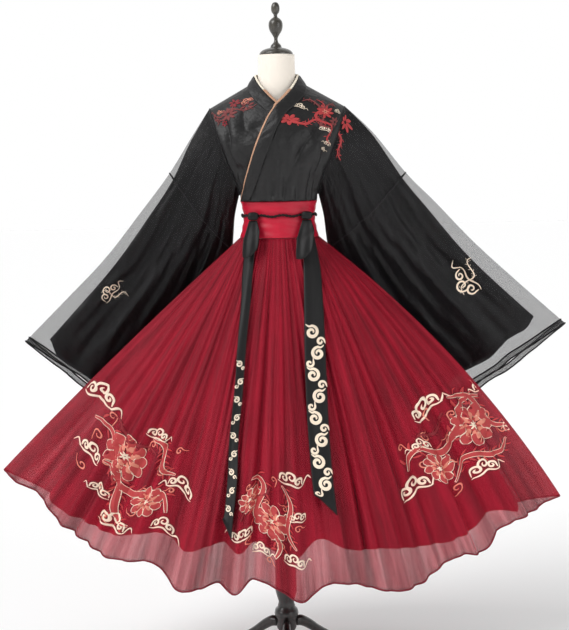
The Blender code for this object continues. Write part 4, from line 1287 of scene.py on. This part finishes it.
def billow(x0, y0, x1, y1, rise, crests, width):
    """A rolling wave: one long S stroke with small crests along it."""
    t = np.linspace(0, 1, 60)
    line = np.stack([x0 + (x1 - x0) * t, y0 + (y1 - y0) * t], -1)
    along = np.array((x1 - x0, y1 - y0), float)
    along /= np.linalg.norm(along)
    side = np.array((-along[1], along[0]))
    line += side * (rise * np.sin(t * math.pi * crests))[:, None]
    strokes = [(line, swell(60, width, 0.3))]
    tangent = np.gradient(line, axis=0)
    tangent /= np.linalg.norm(tangent, axis=1)[:, None]
    for i in range(3, 57, 3):
        n = np.array((-tangent[i, 1], tangent[i, 0]))
        k = 1 if (i // 3) % 2 else -1
        u = np.linspace(0, 1, 6)[:, None]
        spur = line[i] + n * k * width * (0.8 + 1.9 * u) \
            + tangent[i] * width * 1.6 * u ** 1.6
        strokes.append((spur, swell(6, 0.30 * width)))
    return strokes


def wave(*shape):
    strokes = billow(*shape)
    return {"coral": strokes, "cream": edged(strokes[:1], 0.0008)}


def scrolls(x, y, wide, tall, count, size, seed):
    """Small loose curls of thread, spread unevenly over a place."""
    out = []
    for n in range(count):
        a = 2.4 * n + seed
        r = math.sqrt((n + 0.5) / count)
        points = curl(x + wide * r * math.cos(a), y + tall * r * math.sin(a),
                      size * (0.7 + 0.6 * uneven(n, seed)), 1.1,
                      6.3 * uneven(n, seed + 1), 1 if n % 2 else -1,
                      size * 1.6)
        out.append((points, swell(len(points), size * 0.17)))
    return out


def gather(*groups):
    out = {}
    for group in groups:
        for colour, strokes in group.items():
            out.setdefault(colour, []).extend(strokes)
    return out


# %% [markdown]
# ## Three pictures on the skirt
# The pictures sit low on the skirt, left, centre and right. Clouds in cream
# frame the coral flowers and waves. The drawing's up runs along the cloth's
# columns, as it would on an embroidery frame before the skirt is sewn.


# %% Embroider the skirt
def skirt_place(u0, s0):
    grid, normals = overlay_grid["front"], front_normals
    reach = abs(TIP_X[-1] if u0 < 0 else TIP_X[1])

    def place(points, out):
        s = np.clip(s0 - points[:, 1] / 0.96, 0.02, 0.995)
        wide = WAIST_RX * 1.3 * (1 - s) + reach * s
        u = np.clip(u0 + points[:, 0] / wide, -0.985, 0.985)
        col = (u + 1) / 2 * (len(FINE_COLS) - 1)
        row = np.interp(s, FINE_ROWS, np.arange(len(FINE_ROWS)))
        return on_sheet(grid, normals, row, col, np.asarray(out) + WALL)

    return place


PICTURES = {
    "left": (-0.665, 0.745, gather(
        peony(-0.02, 0.015, 0.056, 0.2), peony(0.085, -0.075, 0.044, 1.0),
        wave(-0.13, 0.04, 0.15, -0.10, 0.030, 3, 0.009),
        wave(-0.06, -0.03, 0.06, -0.15, 0.022, 2, 0.008),
        wave(0.02, 0.10, 0.13, 0.01, 0.018, 2, 0.007),
        {"rose": scrolls(0.0, -0.02, 0.16, 0.14, 14, 0.011, 1.0),
         "wine": billow(-0.10, 0.075, 0.05, 0.06, 0.012, 3, 0.004),
         "cream": cloud(-0.145, 0.105, 0.046) + cloud(-0.10, -0.04, 0.034, -1)
         + cloud(0.02, -0.155, 0.040) + cloud(0.15, -0.01, 0.034, -1)
         + cloud(0.03, 0.115, 0.030) + cloud(0.155, -0.135, 0.032)
         + cloud(-0.04, -0.105, 0.026, -1)})),
    "centre": (-0.060, 0.800, gather(
        peony(0.005, -0.02, 0.046, 0.5), peony(-0.055, 0.045, 0.030, 0.1),
        wave(-0.05, 0.10, 0.02, -0.11, 0.022, 3, 0.008),
        wave(0.03, 0.09, 0.075, -0.06, 0.014, 2, 0.006),
        {"rose": scrolls(0.0, 0.0, 0.09, 0.13, 10, 0.009, 2.0),
         "wine": billow(-0.08, 0.0, 0.0, 0.07, 0.010, 2, 0.004),
         "cream": cloud(0.055, 0.115, 0.034) + cloud(-0.075, -0.045, 0.030, -1)
         + cloud(0.070, -0.095, 0.030) + cloud(-0.02, -0.105, 0.026)
         + cloud(0.075, 0.02, 0.024, -1)})),
    "right": (0.775, 0.690, gather(
        peony(0.05, -0.01, 0.058, 0.9), peony(-0.075, -0.05, 0.042, 0.3),
        wave(-0.15, -0.03, 0.11, 0.05, 0.028, 3, 0.009),
        wave(0.03, 0.09, 0.15, -0.06, 0.022, 2, 0.008),
        wave(-0.05, -0.10, 0.12, -0.09, 0.016, 2, 0.007),
        {"rose": scrolls(0.01, -0.01, 0.16, 0.13, 14, 0.011, 3.0),
         "wine": billow(-0.10, 0.03, 0.0, 0.06, 0.012, 2, 0.004),
         "cream": cloud(-0.03, 0.105, 0.042) + cloud(-0.155, -0.075, 0.040)
         + cloud(0.14, 0.075, 0.034, -1) + cloud(0.02, -0.13, 0.036)
         + cloud(-0.09, 0.02, 0.028, -1) + cloud(0.155, -0.06, 0.030)})),
}
skirt_stitches = []
for where, (u0, s0, drawing) in PICTURES.items():
    place = skirt_place(u0, s0)
    for colour, strokes in drawing.items():
        skirt_stitches.append(stitched(
            f"stitch_{where}_{colour}", strokes, place, THREADS[colour],
            pad=0.0016 if colour == "cream" else 0.0011))
print("stitched pieces on the skirt:", len(skirt_stitches))

# %% [markdown]
# ## Clouds down the ribbon tails
# Both tails carry a row of cream scrolls on their lower part. The right tail
# lies flat and shows them whole, and the left one is narrow.

# %% Embroider the tails
tail_stitches = []
for hand, start, count, size in (("left", 0.44, 9, 0.0135),
                                 ("right", 0.36, 8, 0.0290)):
    grid = tail_grid[hand]
    normals = grid_normals(grid)
    if normals[40, 5, 1] > 0:
        normals = -normals
    wide = np.interp(np.linspace(0, 1, 90), np.linspace(0, 1, 90),
                     np.linalg.norm(grid[:, -1] - grid[:, 0], axis=1))
    long = np.linalg.norm(grid[-1, 5] - grid[0, 5])

    def tail_place(points, out, grid=grid, normals=normals, wide=wide,
                   long=long):
        row = np.clip(-points[:, 1] / long, 0, 1) * 89
        across = np.interp(row, np.arange(90), wide)
        col = (points[:, 0] / across + 0.5) * 10
        return on_sheet(grid, normals, row, col, np.asarray(out) + 0.0012)

    strokes = []
    for n in range(count):
        y = -long * (start + (0.955 - start) * (n + 0.5) / count)
        way = 1 if n % 2 else -1
        first = curl(way * size * 0.28, y, size * 0.62, 1.35, math.pi * 0.5,
                     way, size * 0.6)
        second = curl(-way * size * 0.55, y - size * 0.95, size * 0.38, 1.1,
                      math.pi * 0.1, -way, size * 0.4)
        strokes += [(first, swell(len(first), size * 0.17)),
                    (second, swell(len(second), size * 0.13))]
    tail_stitches.append(stitched(f"stitch_tail_{hand}", strokes, tail_place,
                                  THREADS["cream"],
                                  pad=0.0010))

# %% [markdown]
# ## Sprays on the shoulders and sleeves
# A muted spray lies on the wearer's right shoulder. Brighter flowers and
# clouds run over the other shoulder and chest, and a small cloud drifts on
# each sleeve.

# %% Embroider the bodice
def bodice_place(name, row0, col0):
    grid = bodice_grid[name]
    normals = grid_normals(grid)
    middle = normals[30, 40]
    if middle[1] > 0:
        normals = -normals
    down = np.linalg.norm(np.diff(grid[:, int(col0)], axis=0), axis=1).mean()
    wide = np.linalg.norm(np.diff(grid[int(row0)], axis=0), axis=1).mean()

    def place(points, out):
        return on_sheet(grid, normals, row0 - points[:, 1] / down,
                        col0 + points[:, 0] / wide,
                        np.asarray(out) + WALL)

    return place


bodice_stitches = []
SPRAYS = (
    ("bodice_front_under", "shoulder_muted", 10, 38, gather(
        {"dusk": petals(0.0, 0.0, 0.005, 0.022, 8, 0.0042, 0.3)
         + petals(-0.048, 0.010, 0.004, 0.016, 7, 0.0032, 0.8)
         + petals(0.044, -0.004, 0.004, 0.014, 6, 0.0030, 0.8)
         + billow(-0.078, 0.030, 0.060, -0.012, 0.010, 4, 0.0024)
         + billow(-0.060, -0.020, 0.050, 0.020, 0.008, 3, 0.0020),
         "wine": petals(0.030, 0.024, 0.003, 0.014, 6, 0.0030, 0.1)
         + petals(-0.026, -0.020, 0.003, 0.012, 6, 0.0028, 0.1),
         "rose": cloud(0.052, 0.010, 0.013) + cloud(-0.020, 0.020, 0.011)})),
    ("bodice_front_over", "shoulder_bright", 14, 33, gather(
        {"coral": petals(0.010, 0.026, 0.005, 0.025, 8, 0.0048, 0.1)
         + petals(-0.046, -0.046, 0.004, 0.018, 7, 0.0040, 0.4)
         + billow(-0.030, 0.050, 0.070, -0.075, 0.016, 4, 0.0036)
         + billow(-0.066, -0.062, 0.020, -0.018, 0.010, 3, 0.0034),
         "dusk": petals(0.050, 0.004, 0.004, 0.019, 7, 0.0042, 0.5)
         + billow(-0.050, 0.022, 0.030, 0.060, 0.010, 3, 0.0028)
         + billow(0.00, 0.0, 0.050, -0.040, 0.009, 3, 0.0028),
         "rose": petals(0.010, 0.026, 0.002, 0.012, 6, 0.0026, 0.4),
         "cream": cloud(-0.048, 0.004, 0.013) + cloud(0.032, -0.036, 0.014)
         + cloud(0.056, -0.078, 0.015, -1) + cloud(0.046, 0.046, 0.012)
         + cloud(0.048, -0.104, 0.011)})),
)
for node, name, row0, col0, drawing in SPRAYS:
    place = bodice_place(node, row0, col0)
    for colour, strokes in drawing.items():
        if node.endswith("under"):
            strokes = [(points * (-1, 1), half) for points, half in strokes]
        bodice_stitches.append(stitched(
            f"stitch_{name}_{colour}", strokes, place, THREADS[colour],
            pad=0.0008))

# %% Drift a cloud on each sleeve
sleeve_stitches = []
for side, hand, row0, col0, size, dyed in (
        (-1, "left", 60, 17, 0.034, "cream"),
        (1, "right", 60, 19, 0.048, "cream"),
        (1, "right", 5, 16, 0.022, "coral")):
    grid = sleeve_grid[hand]
    normals = grid_normals(grid)
    if normals[40, 30, 1] > 0:
        normals = -normals
    steps = np.linalg.norm(np.diff(grid[:, col0], axis=0), axis=1)
    down = steps[max(row0 - 4, 0):row0 + 4].mean()
    wide = np.linalg.norm(np.diff(grid[row0, :60], axis=0), axis=1).mean()

    def sleeve_place(points, out, grid=grid, normals=normals, down=down,
                     wide=wide, row0=row0, col0=col0):
        return on_sheet(grid, normals, row0 - points[:, 1] / down,
                        col0 + points[:, 0] / wide, np.asarray(out) + 0.0010)

    if dyed == "coral":
        drawing = petals(0, 0, 0.2 * size, size, 7, 0.2 * size) + billow(
            1.0 * size, 1.2 * size, 3.4 * size, -1.0 * size, 0.4 * size, 3,
            0.14 * size)
    else:
        drawing = []
        for points, half in cloud(0, 0, size) + billow(
                -0.5 * size, 0.6 * size, 0.9 * size, -1.5 * size,
                0.3 * size, 3, 0.06 * size):
            drawing.append((points[:, ::-1] * (side, 1), half * 0.7))
    sleeve_stitches.append(stitched(f"stitch_sleeve_{hand}_{dyed}", drawing,
                                    sleeve_place, THREADS[dyed],
                                    pad=0.0007))

# %% [markdown]
# ## The form
# The form is a padded torso with no arms or head, covered in ivory jersey.
# Only its neck shows. It is lofted from the same sections as the solid, with
# more points round each one.

# %% Cover the form
FORM = [
    # height, half width, front depth, back depth, squareness
    (1.050, 0.128, 0.092, 0.098, 2.0), (1.100, 0.132, 0.094, 0.104, 2.0),
    (1.180, 0.122, 0.088, 0.099, 2.0), (1.250, 0.108, 0.083, 0.088, 2.0),
    (1.300, 0.1026, 0.085, 0.086, 2.0), (1.345, 0.1020, 0.0855, 0.0865, 2.0),
    (1.400, 0.1026, 0.0845, 0.083, 2.0), (1.450, 0.107, 0.091, 0.080, 2.1),
    (1.500, 0.124, 0.103, 0.084, 2.2), (1.550, 0.138, 0.099, 0.086, 2.3),
    (1.600, 0.150, 0.084, 0.084, 2.4), (1.640, 0.146, 0.064, 0.070, 2.3),
    (1.670, 0.110, 0.053, 0.062, 2.1), (1.695, 0.077, 0.051, 0.055, 2.0),
    (1.720, 0.060, 0.051, 0.051, 2.0), (1.760, 0.0535, 0.051, 0.050, 2.0),
    (1.8045, 0.053, 0.051, 0.050, 2.0),
]


def form_grid(heights, segments):
    a = np.linspace(0, 2 * math.pi, segments + 1)[:-1][None, :]
    z = heights[:, None]
    e = 2.0 / smooth(FORM, 4, z)
    s, c = np.sin(a), np.cos(a)
    deep = np.where(c > 0, smooth(FORM, 2, z), smooth(FORM, 3, z))
    x = smooth(FORM, 1, z) * np.sign(s) * np.abs(s) ** e
    y = -deep * np.sign(c) * np.abs(c) ** e
    return np.stack([x, y, z + 0 * a], -1)


grid = form_grid(np.linspace(1.05, 1.8045, 90), 96)
torso = sheet("form_torso", grid, IVORY, 0.0, wrap=True, out=(0, 0, 1.4),
              replaces=["form_torso"])
caps = bmesh.new()
caps.from_mesh(torso.data)
bmesh.ops.holes_fill(caps, edges=[e for e in caps.edges if e.is_boundary])
bmesh.ops.recalc_face_normals(caps, faces=caps.faces)
caps.to_mesh(torso.data)
caps.free()
for polygon in torso.data.polygons:
    polygon.use_smooth = abs(polygon.normal.z) < 0.99

# %% [markdown]
# ## The turned cap and the column
# A turned piece is cut on a lathe from one profile. A disc is added, and
# its rim is pulled up step by step, each step a level of the profile, so the
# rings of faces follow the turner's cuts.


# %% Turn a piece on the lathe
def lathe(name, profile, material, replaces, segments=64):
    levels = [(r, z) for r, z in profile if r > 0]
    deselect()
    bpy.ops.mesh.primitive_circle_add(vertices=segments, radius=levels[0][0],
                                      fill_type="NGON",
                                      location=(0, 0, levels[0][1]))
    obj = bpy.context.object
    obj.name = f"fine_{name}"
    bpy.ops.object.mode_set(mode="EDIT")
    bpy.ops.mesh.select_all(action="SELECT")
    for (r0, z0), (r1, z1) in zip(levels, levels[1:]):
        bpy.ops.mesh.extrude_region_move(
            TRANSFORM_OT_translate={"value": (0, 0, z1 - z0)})
        bpy.ops.transform.resize(value=(r1 / r0, r1 / r0, 1),
                                 center_override=(0, 0, z1))
    bpy.ops.mesh.select_all(action="SELECT")
    bpy.ops.mesh.normals_make_consistent(inside=False)
    bpy.ops.object.mode_set(mode="OBJECT")
    bpy.ops.object.transform_apply(location=True, rotation=True, scale=True)
    obj.data.materials.append(material)
    bpy.ops.object.shade_smooth_by_angle(angle=math.radians(50))
    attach(obj, "root")
    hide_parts(*replaces)
    return obj


def rounded(profile, steps=4):
    """More levels between the turner's marks, on a smooth curve."""
    profile = np.asarray(profile, float)
    length = np.concatenate([[0], np.cumsum(
        np.linalg.norm(np.diff(profile, axis=0), axis=1))])
    rows = np.column_stack([length, profile])
    at = np.interp(np.arange(0, (len(profile) - 1) * steps + 1) / steps,
                   np.arange(len(profile)), length)
    return [(max(float(smooth(rows, 1, s)), 0.0004), float(smooth(rows, 2, s)))
            for s in at]


CAP = [
    # radius, height
    (0.0480, 1.8052), (0.0480, 1.8095), (0.0430, 1.8160), (0.0300, 1.8225),
    (0.0165, 1.8270), (0.0148, 1.8320), (0.0065, 1.8420), (0.0055, 1.8530),
    (0.0095, 1.8610), (0.0175, 1.8740), (0.0204, 1.8890), (0.0185, 1.9000),
    (0.0120, 1.9080), (0.0055, 1.9130), (0.0055, 1.9190), (0.0105, 1.9260),
    (0.0124, 1.9370), (0.0105, 1.9470), (0.0060, 1.9530), (0.0006, 1.9548),
]
lathe("form_cap_finial", rounded(CAP), OLIVE_WOOD,
      ["form_cap_finial"])
COLUMN = [
    # radius, height
    (0.0230, 0.0862), (0.0300, 0.1000), (0.0300, 0.1290), (0.0336, 0.1330),
    (0.0362, 0.1440), (0.0336, 0.1560), (0.0262, 0.1630), (0.0262, 0.1680),
    (0.0233, 0.1770), (0.0240, 0.1830), (0.0285, 0.1980), (0.0325, 0.2150),
    (0.0320, 0.2250), (0.0320, 1.0494),
]
lathe("stand_column", COLUMN, DARK_WOOD, ["stand_column"])

# %% [markdown]
# ## The three legs
# The photo ends just below the column's foot, where three legs start to
# flare. They are finished plainly here: one sweeping leg, carried round the
# column three times, each with a flat pad on the floor.

# %% Carve the legs
LEG = [
    # out from the axis, middle height, half height, half width
    (0.0303, 0.1120, 0.0150, 0.0120), (0.0480, 0.1110, 0.0170, 0.0130),
    (0.0760, 0.0960, 0.0180, 0.0130), (0.1150, 0.0660, 0.0170, 0.0125),
    (0.1600, 0.0380, 0.0150, 0.0125), (0.2100, 0.0190, 0.0130, 0.0130),
    (0.2500, 0.0130, 0.0130, 0.0150),
]
for name, turn in (("stand_leg_front", -90.0), ("stand_leg_left", 150.0),
                   ("stand_leg_right", 30.0)):
    a = math.radians(turn)
    out = np.array((math.cos(a), math.sin(a), 0.0))
    across = np.array((-math.sin(a), math.cos(a), 0.0))
    ring = np.radians(np.arange(0, 360, 18) + 9.0)
    grid = []
    for r in np.concatenate([np.linspace(0.0303, 0.245, 34), [0.2485, 0.25]]):
        z, hh, hw = (float(smooth(LEG, c, r)) for c in (1, 2, 3))
        shrink = 1.0 if r < 0.246 else (0.93 if r < 0.2495 else 0.80)
        up = hh * np.sin(ring) * shrink
        flat = np.clip((r - 0.19) / 0.02, 0, 1)
        up = np.where(up < 0, up * (1 - flat) - z * flat, up)
        up = np.maximum(up, -z)
        wide = hw * np.cos(ring) * shrink
        grid.append(out * r + across * wide[:, None]
                    + np.array((0, 0, 1.0)) * (z + up)[:, None])
    leg = sheet(name, grid, DARK_WOOD, 0.0, wrap=True,
                replaces=[name])
    ends = bmesh.new()
    ends.from_mesh(leg.data)
    bmesh.ops.holes_fill(ends, edges=[e for e in ends.edges if e.is_boundary])
    bmesh.ops.recalc_face_normals(ends, faces=ends.faces)
    ends.to_mesh(leg.data)
    ends.free()

# %% [markdown]
# ## What each sheet was cut from
# Every sheet of cloth is declared with the size that it was cut to. A
# gathered skirt or a tube states the cloth all the way round it.


def cloth_area(obj, layers=2):
    return sum(p.area for p in obj.data.polygons) / layers


def declare(obj, with_pieces=()):
    """Print the cut's box and the cloth in it."""
    width, length = CUT[obj.name]
    area = min(cloth_area(obj), width * length)
    print(obj.name, "cut", width, "x", length, "cloth", round(area, 4), "m2")


declare(overlay["front"],
        skirt_stitches + [hem_cord])
declare(overlay["back"])
declare(lining)
for name, piece in bodice_sheet.items():
    on = [s for s in bodice_stitches
          if ("muted" in s.name) == name.endswith("under")]
    declare(piece,
            [] if name.endswith("back") else on)
for name, piece in collar_sheet.items():
    declare(piece)
declare(waistband)
for n, hand in enumerate(("left", "right")):
    declare(sleeve_sheet[hand],
            [cuff_bands[n], *seams[2 * n:2 * n + 2], *stitch_lines[hand],
             *[x for x in sleeve_stitches if hand in x.name]])
    declare(inner_sheet[hand])
    knot, tail, loop = ties[hand]
    declare(tail, [tail_stitches[n]])
    declare(loop)

# %% [markdown]
# ## Floor, light and camera
# The photo has no shadows worth the name: a pale floor, a white wall of
# light behind, a dimmer room in front and one soft key from the left. The camera stands level with the chest, looks a
# little down and is turned about one degree.

# %% Build the studio
deselect()
bpy.ops.mesh.primitive_plane_add(size=60, location=(0, 0, 0))
floor = bpy.context.object
floor.name = "studio_floor"
paint = bpy.data.materials.new("pale floor")
paint.use_nodes = True
paint.node_tree.nodes["Principled BSDF"].inputs[
    "Base Color"].default_value = (0.96, 0.96, 0.96, 1)
paint.node_tree.nodes["Principled BSDF"].inputs[
    "Roughness"].default_value = 0.9
floor.data.materials.append(paint)
world = bpy.context.scene.world or bpy.data.worlds.new("studio")
bpy.context.scene.world = world
world.use_nodes = True
sky = world.node_tree.nodes["Background"]
sky.inputs["Color"].default_value = (1, 1, 1, 1)
where_to = world.node_tree.nodes.new("ShaderNodeTexCoord")
split = world.node_tree.nodes.new("ShaderNodeSeparateXYZ")
level = world.node_tree.nodes.new("ShaderNodeMapRange")
level.inputs["From Min"].default_value = -0.3
level.inputs["From Max"].default_value = 0.6
level.inputs["To Min"].default_value = 0.30
level.inputs["To Max"].default_value = 1.0
world.node_tree.links.new(where_to.outputs["Generated"],
                          split.inputs["Vector"])
world.node_tree.links.new(split.outputs["Y"], level.inputs["Value"])
world.node_tree.links.new(level.outputs["Result"], sky.inputs["Strength"])


def soft_light(name, place, aim, size, watts):
    data = bpy.data.lights.new(name, "AREA")
    data.size = size
    data.energy = watts
    lamp = bpy.data.objects.new(name, data)
    bpy.context.scene.collection.objects.link(lamp)
    lamp.location = place
    lamp.rotation_euler = (Vector(aim) - Vector(place)).to_track_quat(
        "-Z", "Y").to_euler()


sun = bpy.data.lights.new("key", "SUN")
sun.energy, sun.angle = 2.3, math.radians(40)
key = bpy.data.objects.new("key", sun)
bpy.context.scene.collection.objects.link(key)
key.rotation_euler = Vector((0.85, 0.55, -0.80)).to_track_quat(
    "-Z", "Y").to_euler()
soft_light("fill", (3.0, -2.8, 2.2), (0, 0, 1.0), 2.4, 42)
bpy.context.scene.view_settings.view_transform = "Standard"

# %% Set the camera
EYE = np.array((0.0, -3.8, 1.48))
AIM = np.array((0.0103, 0.0, 1.05))
PIXEL_AT_AIM, FRAME_PIXELS = 0.00295, 630
ROLL = math.radians(1.05)
forward = (AIM - EYE) / np.linalg.norm(AIM - EYE)
right = np.cross(forward, (0, 0, 1.0))
right /= np.linalg.norm(right)
up = np.cross(right, forward)
right, up = (right * math.cos(ROLL) - up * math.sin(ROLL),
             up * math.cos(ROLL) + right * math.sin(ROLL))
lens = bpy.data.cameras.new("camera")
lens.sensor_width = 36.0
lens.lens = 36.0 * np.linalg.norm(AIM - EYE) / PIXEL_AT_AIM / FRAME_PIXELS
camera = bpy.data.objects.new("camera", lens)
bpy.context.scene.collection.objects.link(camera)
turned = Matrix((right, up, -forward)).transposed().to_4x4()
turned.translation = Vector(EYE)
camera.matrix_world = turned
bpy.context.scene.camera = camera
print("lens, mm:", round(lens.lens, 1))

# %% Finish
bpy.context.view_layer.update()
